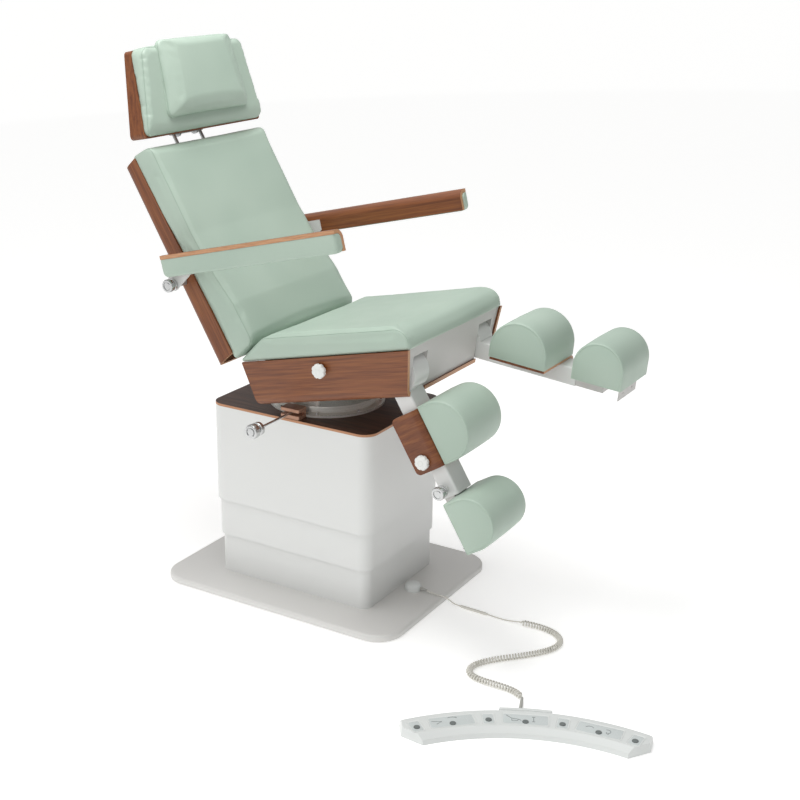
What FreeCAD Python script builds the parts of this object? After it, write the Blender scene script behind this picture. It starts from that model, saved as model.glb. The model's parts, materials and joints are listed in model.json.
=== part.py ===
import FreeCAD, Part
import math
import os

from FreeCAD import Placement, Rotation, Vector

# Podiatry chair, in millimetres, at rest as it stands in a treatment room.
# +Z is up, the sitter looks along -Y, and the sitter's right hand is on the -X side.
# The origin is on the floor, on the swivel axis.

# General
OVERRUN = 5.0               # how far a cutting tool runs past the face that it cuts
SOFT_GAP = 0.4              # between a soft pad and what carries it
SEAT_GAP = 0.3              # between two rigid pieces that move on each other
BORE_CLEARANCE = 0.06       # radial, a pin in its bore

# Base plate and column
PLATE_LENGTH = 900.0
PLATE_WIDTH = 700.0
PLATE_CORNER = 90.0
PLATE_EDGE_ROUND = 9.0
PLATE_THICKNESS = 21.0
FOOT_HEIGHT = 4.0
FOOT_RADIUS = 22.0
FOOT_INSET = 75.0
PLATE_TOP = FOOT_HEIGHT + PLATE_THICKNESS

SHROUD_LENGTH = 612.0
SHROUD_WIDTH = 460.0
SHROUD_CORNER = 47.0
SHROUD_WALL = 2.0
SHROUD_STEP = 8.0           # each shroud is this much smaller all round than the one above
UPPER_SHROUD_BOTTOM = 290.0
UPPER_SHROUD_TOP = 619.0
MIDDLE_SHROUD_BOTTOM = 162.0
MIDDLE_SHROUD_TOP = 480.0
LOWER_SHROUD_TOP = 290.0
TOP_BOARD_THICKNESS = 8.0
TOP_BOARD_TOP = UPPER_SHROUD_TOP + TOP_BOARD_THICKNESS

COLUMN_SIZE = 220.0
COLUMN_STEP = 10.0          # each tube is this much smaller all round than the one outside it
COLUMN_WALL = 6.0
COLUMN_ROUND = 12.0
OUTER_TUBE_TOP = 350.0
MIDDLE_TUBE_BOTTOM = 165.0
MIDDLE_TUBE_TOP = 480.0
INNER_TUBE_BOTTOM = 285.0
INNER_TUBE_TOP = 609.0
GUIDE_PAD_HALF = 30.0
GUIDE_PAD_HEIGHT = 25.0
ARM_THICKNESS = 8.0
CARRIER_LENGTH = 420.0
CARRIER_WIDTH = 330.0
CARRIER_THICKNESS = UPPER_SHROUD_TOP - INNER_TUBE_TOP

# Swivel bearing, its brake and the tilt yoke
FLANGE_RADIUS = 190.0
FLANGE_THICKNESS = 8.0
RING_RADIUS = 165.0
RING_BORE = 118.0
RING_HEIGHT = 15.0
RING_ROUND = 2.5
TURNTABLE_RADIUS = 172.0
TURNTABLE_THICKNESS = 8.0
HUB_RADIUS = 117.94
HUB_DROP = 20.0
YOKE_HALF_SPAN = 150.0
YOKE_CHEEK = 12.0
YOKE_WIDTH = 100.0
YOKE_TOP_RADIUS = 32.0
TILT_Y = -20.0
TILT_Z = 745.0
TILT_SHAFT_RADIUS = 14.0

BRAKE_X = -205.0
BRAKE_Y = -8.0
BRAKE_Z = 645.0
BRAKE_BLOCK_LENGTH = 70.0
BRAKE_BLOCK_DEPTH = 46.0
BRAKE_BLOCK_HEIGHT = 26.0
BRAKE_SLOT = 11.0
BRAKE_PIN_RADIUS = 5.0
LEVER_EYE_RADIUS = 12.0
LEVER_EYE_HEIGHT = 10.0
LEVER_ROD_RADIUS = 4.0
LEVER_KNOB_X = -386.0
LEVER_KNOB_LENGTH = 46.0

# Seat: its own frame starts at the tray's top front edge, +Y to the rear and +Z up
SEAT_PITCH = 13.0
SEAT_ORIGIN = Vector(0, -477.0, 947.0)
TRAY_LENGTH = 612.0
TRAY_DEPTH = 150.0
TRAY_HALF_TOP = 300.6
TRAY_HALF_BOTTOM = TRAY_HALF_TOP - 35.1
TRAY_BEND = 35.0
PLY = 12.0
TRAY_FRONT_RAKE = 20.4      # degrees from square, so the front edge leans forward
TRAY_NOTCH_HALF = 182.0     # passage for the yoke and the turntable in the tray's floor
TRAY_NOTCH_START = 330.0
SEAT_CUSHION_OVERHANG = 4.0
SEAT_CUSHION_HALF = TRAY_HALF_TOP - 1.6
SEAT_CUSHION_HEIGHT = 76.0
SEAT_CUSHION_LIP = 10.0
SEAT_CUSHION_TOP_END = 524.0
SEAT_CUSHION_END = 621.0
SEAT_NOSE = 62.0
SEAT_REAR_ROUND = 16.0
CUSHION_EDGE = 12.0
RAIL_X = TRAY_HALF_TOP - 176.6
BEAM_WIDTH = 40.0
BEAMS = [(TRAY_HALF_TOP - 25.6, 160.0, -56.0, -28.0),       # half span, y, low and high
         (TRAY_HALF_TOP - 20.6, 535.0, -34.0, -12.0)]
FRONT_PLATE_INSET = 7.0
FRONT_PLATE_THICKNESS = 3.0

KNOB_RADIUS = 23.0
KNOB_HEIGHT = 17.0
KNOB_LOBES = 8
KNOB_LOBE_RADIUS = 5.5
KNOB_STUD_RADIUS = 6.0
SEAT_KNOB_Y = 322.0
SEAT_KNOB_Z = -41.0

# Backrest: its own frame starts at the shell's bottom rear edge, +Y up along the back, +Z forward
BACK_PITCH = 59.4
BACK_ORIGIN = Vector(0, 214.0, 780.0)
BACK_LENGTH = 678.0
BACK_HALF = TRAY_HALF_TOP - 0.6
BACK_DEPTH_LOW = 77.0
BACK_DEPTH_HIGH = 59.0
BACK_RAKE_LOW = 17.7
BACK_RAKE_HIGH = 13.5
BACK_BEND = 26.0
BACK_CUSHION_HALF = BACK_HALF
BACK_CUSHION_TOP = BACK_LENGTH + 24.0
BACK_CUSHION_LOW = -8.0
BACK_CUSHION_RAKE = 0.24    # how far the raked bottom rises per unit of depth
BACK_CUSHION_FACE = 133.0
LUMBAR_FACE = 168.0
LUMBAR_END = 190.0
LUMBAR_BLEND = 330.0
LUMBAR_ROUND = 160.0
LUMBAR_BLEND_ROUND = 200.0
UPRIGHT_X = RAIL_X + 13.0
RECLINE_Y = 165.0
RECLINE_Z = 795.0
RECLINE_SHAFT_RADIUS = 9.0
RECLINE_EYE_RADIUS = 15.0

# Headrest: its own frame starts at the shell's bottom rear edge, +Y up, +Z forward
HEAD_PITCH = 78.9
HEAD_RISE = 63.9551         # the headrest frame from the back shell, at rest
HEAD_FORWARD = 73.4086
HEAD_HEIGHT = 268.0
HEAD_HALF_LOW = BACK_HALF - 1.0
HEAD_HALF_HIGH = BACK_HALF - 49.0
HEAD_CORNER = 24.0
HEAD_SHELL_CORNER = 14.0
HEAD_DEPTH_LOW = 60.0
HEAD_DEPTH_HIGH = 27.0
HEAD_FACE_LOW = 84.0
HEAD_FACE_HIGH = 76.0
HEAD_CUSHION_RISE = 6.0     # how far the cushion stands past the shell's top
HEAD_CUSHION_ROUND = 13.0
PILLOW_HALF_LOW = 196.0
PILLOW_HALF_HIGH = 178.0
PILLOW_BOTTOM = 50.0
PILLOW_TOP = 292.0
PILLOW_CREST = 84.0         # where the pillow is thickest
PILLOW_THICK_LOW = 36.0
PILLOW_THICK_HIGH = 17.0
PILLOW_ROUND = 9.0
ROD_RADIUS = 6.0
ROD_HALF_SPACING = 67.0
ROD_DEPTH = 51.0            # rod axis in front of the back shell's rear face
ROD_START = BACK_LENGTH - 208.0
ROD_END = BACK_LENGTH + 74.0
HEAD_BAR_RADIUS = 8.0
HEAD_BAR_HALF = 80.0
HEAD_EAR_X = 44.0
HEAD_EAR_THICKNESS = 8.0
HEAD_EAR_RADIUS = 15.0
HEAD_BRACKET_HALF = 60.0
HEAD_BRACKET_HEIGHT = 96.0
HEAD_BRACKET_THICKNESS = 4.0

# Armrests: their frame starts at the clamp knob's axis, -Y forward along the arm, +Z up
ARM_PITCH = -14.0
ARM_PIVOT = Vector(0, 338.0, 1039.0)
ARM_INNER_FACE = BACK_HALF + 50.0
ARM_PLY = 12.0
ARM_LENGTH = 654.0
ARM_REAR = -8.0
ARM_BOTTOM = 30.0
ARM_TOP = 96.0
ARM_WIDTH = 42.0
ARM_PAD_LOW = 27.0
ARM_PAD_REAR = 5.0          # how far the pad stands past the board's rear end
ARM_BEND = 28.0
ARM_BRACKET_THICKNESS = 4.0
ARM_PIN_RADIUS = 8.0
ARM_KNOB_RADIUS = 21.0
ARM_KNOB_LENGTH = 30.0

# Legs: their frame starts at the leg hinge, -Y out along the leg, +Z on the side of the pads
LEG_HINGE_Y = -409.5
LEG_HINGE_Z = 851.6
LEG_CENTRE_X = TRAY_HALF_TOP - 94.6
LEG_PITCH_RIGHT = 58.5
LEG_PITCH_LEFT = 5.4
LEG_WIDTH = 84.0
LEG_DEPTH = 58.0
LEG_FACE = 12.0             # the tube's pad side, above the hinge axis
LEG_WALL = 3.0
LEG_ROUND = 6.0
LEG_DRUM_RADIUS = 62.0
LEG_TUBE_END = 396.0
LEG_AXLE_RADIUS = 12.5
CALF_PLY = 8.0
CALF_START_RIGHT = 112.0
CALF_START_LEFT = 150.0
CALF_LENGTH = 190.0
CALF_RISE = 129.0
CALF_WALL_X = 62.0          # the shell's outer wall face, from the leg's centre
CALF_INNER_X = LEG_CENTRE_X - 43.0        # the pad's inner face, from the leg's centre
CALF_OUTER_X = 53.0
CALF_WALL_DROP = 92.0
CALF_BEND = 26.0
CALF_KNOB_BACK = 38.0
FOOT_START = 400.0
FOOT_LENGTH = 164.0
FOOT_FACE = -2.0
FOOT_RISE = 132.0
FOOT_HALF = 108.0
FOOT_OFFSET = 12.0          # the foot pad sits this much further out than its tube
SLIDE_WIDTH = 76.0
SLIDE_DEPTH = 35.0
SLIDE_START = 190.0
SLIDE_END = 488.0
CARRIER_PLATE_HALF = 70.0
CARRIER_PLATE = 2.6
CARRIER_END = 552.0
CARRIER_LIP = 40.0
CARRIER_HOLE_RADIUS = 3.5
PLUNGER_AT = 370.0
FOOT_TRAVEL = 100.0
PLUNGER_BARREL_RADIUS = 11.0
PLUNGER_BARREL_LENGTH = 16.0
PLUNGER_PIN_RADIUS = 5.0
PLUNGER_KNOB_RADIUS = 21.0
PLUNGER_KNOB_LENGTH = 30.0
PAD_EDGE = 7.0

# Foot control and its cord
CONTROL_CENTRE = Vector(-1144.0, -1295.0, 0)
CONTROL_OUTER = 742.0
CONTROL_INNER = 628.0
CONTROL_HEIGHT = 30.0
CONTROL_MIDDLE_ANGLE = 25.3
CONTROL_HALF_ANGLE = 28.0
BUTTON_SPACING = 8.65
BUTTON_COUNT = 7
BUTTON_RADIUS = 9.0
BUTTON_PROUD = 3.0
BUTTON_WELL = 9.0
BUTTON_LIFT = 3.0           # free travel under a button
BUTTON_RING = 676.0
BUTTON_RING_WIDE = 669.0
PANEL_DEPTH = 1.5
PANEL_HALF = 21
PANEL_HALF_WIDE = 52
PANEL_REACH = 24
PANEL_ROUND = 6

CABLE_RADIUS = 2.5
BOSS_Y = -338.0
BOSS_RADIUS = 28.0
BOSS_HEIGHT = 24.0
CABLE_ROUTE = [(0, -367, 33), (0, -388, 32), (-2, -410, 29.5), (-3, -436, 29.5), (-4, -458, 30),
               (-3, -476, 23), (1, -491, 11), (8, -510, 5.5)]
SLEEVE_START = (8, -510, 5.5)
SLEEVE_END = (4, -612, 5.5)
SLEEVE_RADIUS = 5.0
LINK_ROUTE = [(4, -612, 5.5), (2.5, -640, 4.5), (2, -668, 4), (3, -697, 5.5), (5, -725, 10.2)]
COIL_ROUTE = [(5, -725, 10.2), (7, -745, 10.2), (10, -780, 10.2), (8, -820, 10.2), (-4, -856, 10.2),
              (-28, -884, 10.2), (-64, -896, 10.2), (-104, -886, 10.2), (-142, -862, 10.2),
              (-178, -832, 10.2), (-212, -800, 10.2), (-246, -768, 10.2), (-284, -740, 10.2),
              (-322, -726, 10.2), (-356, -734, 10.2), (-374, -762, 10.2), (-378, -800, 10.2),
              (-377, -840, 10.2), (-378, -880, 10.2), (-386, -912, 10.2), (-402, -933, 10.2)]
COIL_RADIUS = 7.4
COIL_WIRE_RADIUS = 2.7
CURL_COUNT = 80
WIRE_SIDES = 6


def turn_x(degrees):
    return Rotation(Vector(1, 0, 0), degrees)


SEAT_FRAME = Placement(SEAT_ORIGIN, turn_x(-SEAT_PITCH))
BACK_FRAME = Placement(BACK_ORIGIN, turn_x(BACK_PITCH))
HEAD_SPOT = Vector(0, BACK_LENGTH + HEAD_RISE, HEAD_FORWARD)     # in the backrest's frame
HEAD_FRAME = Placement(BACK_FRAME.multVec(HEAD_SPOT), turn_x(HEAD_PITCH))
ARM_FRAME = Placement(ARM_PIVOT, turn_x(ARM_PITCH))


def leg_frame(side):
    pitch = LEG_PITCH_RIGHT if side < 0 else LEG_PITCH_LEFT
    return Placement(Vector(side * LEG_CENTRE_X, LEG_HINGE_Y, LEG_HINGE_Z), turn_x(pitch))


def placed(shape, frame):
    copy = shape.copy()
    copy.Placement = frame.multiply(copy.Placement)
    return copy


def local(frame, point):
    return frame.inverse().multVec(point)


def box(x0, x1, y0, y1, z0, z1):
    return Part.makeBox(x1 - x0, y1 - y0, z1 - z0, Vector(x0, y0, z0))


def rod(start, end, radius):
    run = end - start
    return Part.makeCylinder(radius, run.Length, start, run)


def polygon_face(points):
    return Part.Face(Part.makePolygon(points + [points[0]]))


def prism_x(points, x0, x1):
    """A (y, z) outline run along X."""
    face = polygon_face([Vector(x0, y, z) for y, z in points])
    return face.extrude(Vector(x1 - x0, 0, 0))


def prism_z(points, z0, z1):
    """An (x, y) outline run along Z."""
    face = polygon_face([Vector(x, y, z0) for x, y in points])
    return face.extrude(Vector(0, 0, z1 - z0))


def along(direction, shape):
    """The edges of a shape that run along a direction."""
    found = []
    for edge in shape.Edges:
        if edge.Curve.TypeId != "Part::GeomLine":
            continue
        run = edge.Vertexes[-1].Point - edge.Vertexes[0].Point
        if run.Length > 0 and abs(abs(run.normalize().dot(direction)) - 1) < 1e-6:
            found.append(edge)
    return found


def rounded_block(x0, x1, y0, y1, z0, z1, radius, direction=Vector(0, 0, 1)):
    block = box(x0, x1, y0, y1, z0, z1)
    return block.makeFillet(radius, along(direction, block))


def rounded_tube(length, width, corner, wall, z0, z1):
    outer = rounded_block(-width / 2, width / 2, -length / 2, length / 2, z0, z1, corner)
    half_width = width / 2 - wall
    half_length = length / 2 - wall
    hollow = rounded_block(-half_width, half_width, -half_length, half_length,
                           z0 - OVERRUN, z1 + OVERRUN, corner - wall)
    return outer.cut(hollow)


def write(name, *solids):
    shape = solids[0] if len(solids) == 1 else Part.makeCompound(list(solids))
    shape.exportStep(os.path.join("parts", name + ".step"))


# Base

def base_plate():
    plate = rounded_block(-PLATE_WIDTH / 2, PLATE_WIDTH / 2, -PLATE_LENGTH / 2, PLATE_LENGTH / 2,
                          FOOT_HEIGHT, PLATE_TOP, PLATE_CORNER)
    rim = [edge for edge in plate.Edges if edge.BoundBox.ZMin > PLATE_TOP - SEAT_GAP]
    return plate.makeFillet(PLATE_EDGE_ROUND, rim)


def plate_feet():
    x = PLATE_WIDTH / 2 - FOOT_INSET
    y = PLATE_LENGTH / 2 - FOOT_INSET
    places = [Vector(sx * x, sy * y, 0) for sx in (-1, 1) for sy in (-1, 0, 1)]
    return [Part.makeCylinder(FOOT_RADIUS, FOOT_HEIGHT, place) for place in places + [Vector(0, 0, 0)]]


def shroud(level, z0, z1):
    """Level 0 is the outer, upper shroud."""
    inset = 2 * level * SHROUD_STEP
    return rounded_tube(SHROUD_LENGTH - inset, SHROUD_WIDTH - inset,
                        SHROUD_CORNER - level * SHROUD_STEP, SHROUD_WALL, z0, z1)


def column_tube(level, z0, z1):
    """Level 0 is the outer, lower tube."""
    size = COLUMN_SIZE - 2 * level * COLUMN_STEP
    return rounded_tube(size, size, COLUMN_ROUND, COLUMN_WALL, z0, z1)


def guided_tube(level, z0, z1):
    """A tube with four pads inside its top, which the next tube slides on."""
    inner = COLUMN_SIZE / 2 - level * COLUMN_STEP - COLUMN_WALL
    rubbing = inner + COLUMN_WALL - COLUMN_STEP + BORE_CLEARANCE
    pads = []
    for quarter in range(4):
        pad = box(rubbing, inner + COLUMN_WALL / 2, -GUIDE_PAD_HALF, GUIDE_PAD_HALF,
                  z1 - GUIDE_PAD_HEIGHT, z1)
        pad.rotate(Vector(0, 0, 0), Vector(0, 0, 1), 90 * quarter)
        pads.append(pad)
    return column_tube(level, z0, z1).fuse(pads).removeSplitter()


def middle_tube():
    """The middle tube and the four arms that carry the middle shroud."""
    tube = guided_tube(1, MIDDLE_TUBE_BOTTOM, MIDDLE_TUBE_TOP)
    near = COLUMN_SIZE / 2 - COLUMN_STEP - COLUMN_WALL / 2
    far_x = SHROUD_WIDTH / 2 - SHROUD_STEP - SHROUD_WALL - SEAT_GAP / 2
    far_y = SHROUD_LENGTH / 2 - SHROUD_STEP - SHROUD_WALL - SEAT_GAP / 2
    low = MIDDLE_TUBE_TOP - ARM_THICKNESS
    arms = []
    for side in (-1, 1):
        x0, x1 = sorted((side * near, side * far_x))
        y0, y1 = sorted((side * near, side * far_y))
        arms.append(box(x0, x1, -GUIDE_PAD_HALF, GUIDE_PAD_HALF, low, MIDDLE_TUBE_TOP))
        arms.append(box(-GUIDE_PAD_HALF, GUIDE_PAD_HALF, y0, y1, low, MIDDLE_TUBE_TOP))
    return tube.fuse(arms).removeSplitter()


def inner_tube():
    tube = column_tube(2, INNER_TUBE_BOTTOM, INNER_TUBE_TOP)
    carrier = box(-CARRIER_WIDTH / 2, CARRIER_WIDTH / 2, -CARRIER_LENGTH / 2, CARRIER_LENGTH / 2,
                  INNER_TUBE_TOP, UPPER_SHROUD_TOP)
    return tube.fuse(carrier).removeSplitter()


def cable_boss():
    dome = Part.makeCylinder(BOSS_RADIUS, BOSS_HEIGHT, Vector(0, BOSS_Y, PLATE_TOP))
    crown = [edge for edge in dome.Edges if edge.BoundBox.ZMin > PLATE_TOP + BOSS_HEIGHT / 2]
    dome = dome.makeFillet(BOSS_HEIGHT / 2, crown)
    start = Vector(*CABLE_ROUTE[0])
    nose = rod(Vector(0, BOSS_Y, start.z), start, 2 * CABLE_RADIUS)
    return dome.fuse(nose).removeSplitter()


# Column top, bearing and brake

def top_board():
    return rounded_block(-SHROUD_WIDTH / 2, SHROUD_WIDTH / 2, -SHROUD_LENGTH / 2, SHROUD_LENGTH / 2,
                         UPPER_SHROUD_TOP, TOP_BOARD_TOP, SHROUD_CORNER)


def bearing_ring():
    flange_top = TOP_BOARD_TOP + FLANGE_THICKNESS
    flange = Part.makeCylinder(FLANGE_RADIUS, FLANGE_THICKNESS, Vector(0, 0, TOP_BOARD_TOP))
    ring = Part.makeCylinder(RING_RADIUS, RING_HEIGHT, Vector(0, 0, flange_top))
    rim = [edge for edge in ring.Edges if edge.BoundBox.ZMin > flange_top + RING_HEIGHT / 2]
    ring = ring.makeFillet(RING_ROUND, rim)
    bore = Part.makeCylinder(RING_BORE, FLANGE_THICKNESS + RING_HEIGHT + 2 * OVERRUN,
                             Vector(0, 0, TOP_BOARD_TOP - OVERRUN))
    return flange.fuse(ring).removeSplitter().cut(bore)


TURNTABLE_BOTTOM = TOP_BOARD_TOP + FLANGE_THICKNESS + RING_HEIGHT + SEAT_GAP
TURNTABLE_TOP = TURNTABLE_BOTTOM + TURNTABLE_THICKNESS


def brake_block():
    """A clevis on the flange that the lever turns in."""
    floor = TOP_BOARD_TOP + FLANGE_THICKNESS
    half = BRAKE_BLOCK_LENGTH / 2
    top = floor + BRAKE_BLOCK_HEIGHT
    outer_x = BRAKE_X - BRAKE_BLOCK_DEPTH / 2
    inner_x = BRAKE_X + BRAKE_BLOCK_DEPTH / 2
    block = rounded_block(outer_x, inner_x, BRAKE_Y - half, BRAKE_Y + half, TOP_BOARD_TOP, top,
                          2 * RING_ROUND)
    slot_half = BRAKE_SLOT / 2 + SEAT_GAP
    slot = box(outer_x - OVERRUN, BRAKE_X + LEVER_EYE_RADIUS + 2 * SEAT_GAP,
               BRAKE_Y - half - OVERRUN, BRAKE_Y + half + OVERRUN, BRAKE_Z - slot_half, BRAKE_Z + slot_half)
    ring_room = Part.makeCylinder(RING_RADIUS + SEAT_GAP, BRAKE_BLOCK_HEIGHT + FLANGE_THICKNESS,
                                  Vector(0, 0, TOP_BOARD_TOP + FLANGE_THICKNESS))
    flange_room = Part.makeCylinder(FLANGE_RADIUS + SEAT_GAP, FLANGE_THICKNESS, Vector(0, 0, TOP_BOARD_TOP))
    turntable_room = Part.makeCylinder(TURNTABLE_RADIUS + 2 * SEAT_GAP, BRAKE_BLOCK_HEIGHT,
                                       Vector(0, 0, TURNTABLE_BOTTOM - SEAT_GAP))
    block = block.cut(slot).cut(ring_room).cut(turntable_room).cut(flange_room)
    pin = Part.makeCylinder(BRAKE_PIN_RADIUS, top - TOP_BOARD_TOP, Vector(BRAKE_X, BRAKE_Y, TOP_BOARD_TOP))
    return block.fuse(pin).removeSplitter()


def stepped_knob(start, direction, radius, length):
    """A turned metal knob: a collar, a groove and a domed face."""
    groove = length * 0.16
    collar = Part.makeCylinder(radius * 0.92, length * 0.34, start, direction)
    neck = Part.makeCylinder(radius * 0.72, length, start, direction)
    head_start = start + direction * (length * 0.34 + groove)
    head_length = length - length * 0.34 - groove
    head = Part.makeCylinder(radius, head_length, head_start, direction)
    head = head.makeChamfer(radius * 0.09, [edge for edge in head.Edges if edge.Closed])
    dish_start = start + direction * (length - radius * 0.06)
    dish = Part.makeCylinder(radius * 0.55, radius * 0.06, dish_start, direction)
    return collar.fuse([neck, head]).cut(dish).removeSplitter()


def brake_lever():
    pivot = Vector(BRAKE_X, BRAKE_Y, BRAKE_Z)
    eye = Part.makeCylinder(LEVER_EYE_RADIUS, LEVER_EYE_HEIGHT, pivot - Vector(0, 0, LEVER_EYE_HEIGHT / 2))
    bar = rod(pivot, Vector(LEVER_KNOB_X, BRAKE_Y, BRAKE_Z), LEVER_ROD_RADIUS)
    bore = Part.makeCylinder(BRAKE_PIN_RADIUS + BORE_CLEARANCE, LEVER_EYE_HEIGHT + 2 * OVERRUN,
                             pivot - Vector(0, 0, LEVER_EYE_HEIGHT / 2 + OVERRUN))
    arm = eye.fuse(bar).cut(bore).removeSplitter()
    knob_start = Vector(LEVER_KNOB_X, BRAKE_Y, BRAKE_Z)
    knob = stepped_knob(knob_start, Vector(-1, 0, 0), KNOB_RADIUS, LEVER_KNOB_LENGTH)
    return [arm, knob]


def turntable():
    disc = Part.makeCylinder(TURNTABLE_RADIUS, TURNTABLE_THICKNESS, Vector(0, 0, TURNTABLE_BOTTOM))
    hub = Part.makeCylinder(HUB_RADIUS, HUB_DROP, Vector(0, 0, TURNTABLE_BOTTOM - HUB_DROP))
    body = disc.fuse(hub)
    half = YOKE_WIDTH / 2
    for side in (-1, 1):
        x0 = side * YOKE_HALF_SPAN - YOKE_CHEEK / 2
        x1 = x0 + YOKE_CHEEK
        cheek = prism_x([(TILT_Y - half, TURNTABLE_TOP), (TILT_Y + half, TURNTABLE_TOP),
                         (TILT_Y + YOKE_TOP_RADIUS, TILT_Z), (TILT_Y - YOKE_TOP_RADIUS, TILT_Z)], x0, x1)
        eye = Part.makeCylinder(YOKE_TOP_RADIUS, YOKE_CHEEK, Vector(x0, TILT_Y, TILT_Z), Vector(1, 0, 0))
        body = body.fuse([cheek, eye])
    bore = rod(Vector(-TRAY_NOTCH_HALF, TILT_Y, TILT_Z), Vector(TRAY_NOTCH_HALF, TILT_Y, TILT_Z),
               TILT_SHAFT_RADIUS + BORE_CLEARANCE)
    return body.cut(bore).removeSplitter()


# Seat

def trough(half_top, half_bottom, depth, bend, wall, length):
    """A bent plywood trough: flared sides, rounded corners and a flat floor, run along Y."""
    slope = (half_top - half_bottom) / depth
    side_wall = wall * math.hypot(1, slope)

    def block(top, bottom, top_z, floor_z, radius, y0, y1):
        outline = [Vector(-top, y0, top_z), Vector(-bottom, y0, floor_z),
                   Vector(bottom, y0, floor_z), Vector(top, y0, top_z)]
        solid = polygon_face(outline).extrude(Vector(0, y1 - y0, 0))
        corners = [edge for edge in along(Vector(0, 1, 0), solid)
                   if edge.BoundBox.ZMax < (top_z + floor_z) / 2]
        return solid.makeFillet(radius, corners)

    outer = block(half_top, half_bottom, 0, -depth, bend, 0, length)
    inner_bottom = half_bottom - side_wall + slope * wall
    inner_top = half_top - side_wall + slope * OVERRUN
    inner = block(inner_top, inner_bottom, OVERRUN, wall - depth, bend - wall, -OVERRUN, length + OVERRUN)
    return outer, inner


def tray_front_y(z):
    """Where the raked front end lies at a height in the seat's frame."""
    return -z * math.tan(math.radians(TRAY_FRONT_RAKE))


def leg_window(x_margin, drum_margin, depth):
    """The passage that a leg swings through, in the chair's frame, one per side."""
    half = LEG_WIDTH / 2 + x_margin
    cuts = []
    for side in (-1, 1):
        centre = side * LEG_CENTRE_X
        x0, x1 = centre - half, centre + half
        radius = LEG_DRUM_RADIUS + drum_margin
        drum = Part.makeCylinder(radius, 2 * half, Vector(x0, LEG_HINGE_Y, LEG_HINGE_Z), Vector(1, 0, 0))
        front = box(x0, x1, LEG_HINGE_Y - 2 * radius, LEG_HINGE_Y + depth,
                    LEG_HINGE_Z - 3 * radius, LEG_HINGE_Z)
        upper = box(x0, x1, LEG_HINGE_Y - 2 * radius, LEG_HINGE_Y, LEG_HINGE_Z - radius, LEG_HINGE_Z + radius)
        cuts.append(drum.fuse([front, upper]))
    return cuts


def seat_tray():
    outer, inner = trough(TRAY_HALF_TOP, TRAY_HALF_BOTTOM, TRAY_DEPTH, TRAY_BEND, PLY, TRAY_LENGTH)
    tray = outer.cut(inner)
    front = [(-OVERRUN, OVERRUN), (tray_front_y(OVERRUN), OVERRUN),
             (tray_front_y(-TRAY_DEPTH - OVERRUN), -TRAY_DEPTH - OVERRUN), (-OVERRUN, -TRAY_DEPTH - OVERRUN)]
    tray = tray.cut(prism_x(front, -TRAY_HALF_TOP - OVERRUN, TRAY_HALF_TOP + OVERRUN))
    notch = box(-TRAY_NOTCH_HALF, TRAY_NOTCH_HALF, TRAY_NOTCH_START, TRAY_LENGTH + OVERRUN,
                -TRAY_DEPTH - OVERRUN, PLY + OVERRUN - TRAY_DEPTH)
    tray = placed(tray.cut(notch), SEAT_FRAME)
    floor_cut = placed(box(-TRAY_HALF_TOP, TRAY_HALF_TOP, 0, TRAY_LENGTH, -2 * TRAY_DEPTH,
                           PLY + TRAY_BEND - TRAY_DEPTH), SEAT_FRAME)
    for window in leg_window(2 * SOFT_GAP, 2 * SEAT_GAP, LEG_DEPTH - LEG_FACE):
        tray = tray.cut(window.common(floor_cut))
    for side in (-1, 1):
        stud = placed(rod(Vector(0, SEAT_KNOB_Y, SEAT_KNOB_Z), Vector(side * (TRAY_HALF_TOP + OVERRUN),
                      SEAT_KNOB_Y, SEAT_KNOB_Z), KNOB_STUD_RADIUS + BORE_CLEARANCE), SEAT_FRAME)
        tray = tray.cut(stud)
    return tray


def front_plate():
    outer, inner = trough(TRAY_HALF_TOP, TRAY_HALF_BOTTOM, TRAY_DEPTH, TRAY_BEND, PLY + SEAT_GAP, TRAY_LENGTH)
    y = FRONT_PLATE_INSET
    back = y + FRONT_PLATE_THICKNESS
    low = -TRAY_DEPTH - OVERRUN
    slab = prism_x([(y, 0), (back, 0), (tray_front_y(low) + back, low), (tray_front_y(low) + y, low)],
                   -TRAY_HALF_TOP, TRAY_HALF_TOP)
    plate = placed(slab.common(inner), SEAT_FRAME)
    for window in leg_window(2 * SOFT_GAP, 4 * SEAT_GAP, 0):
        plate = plate.cut(window)
    return plate


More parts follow.
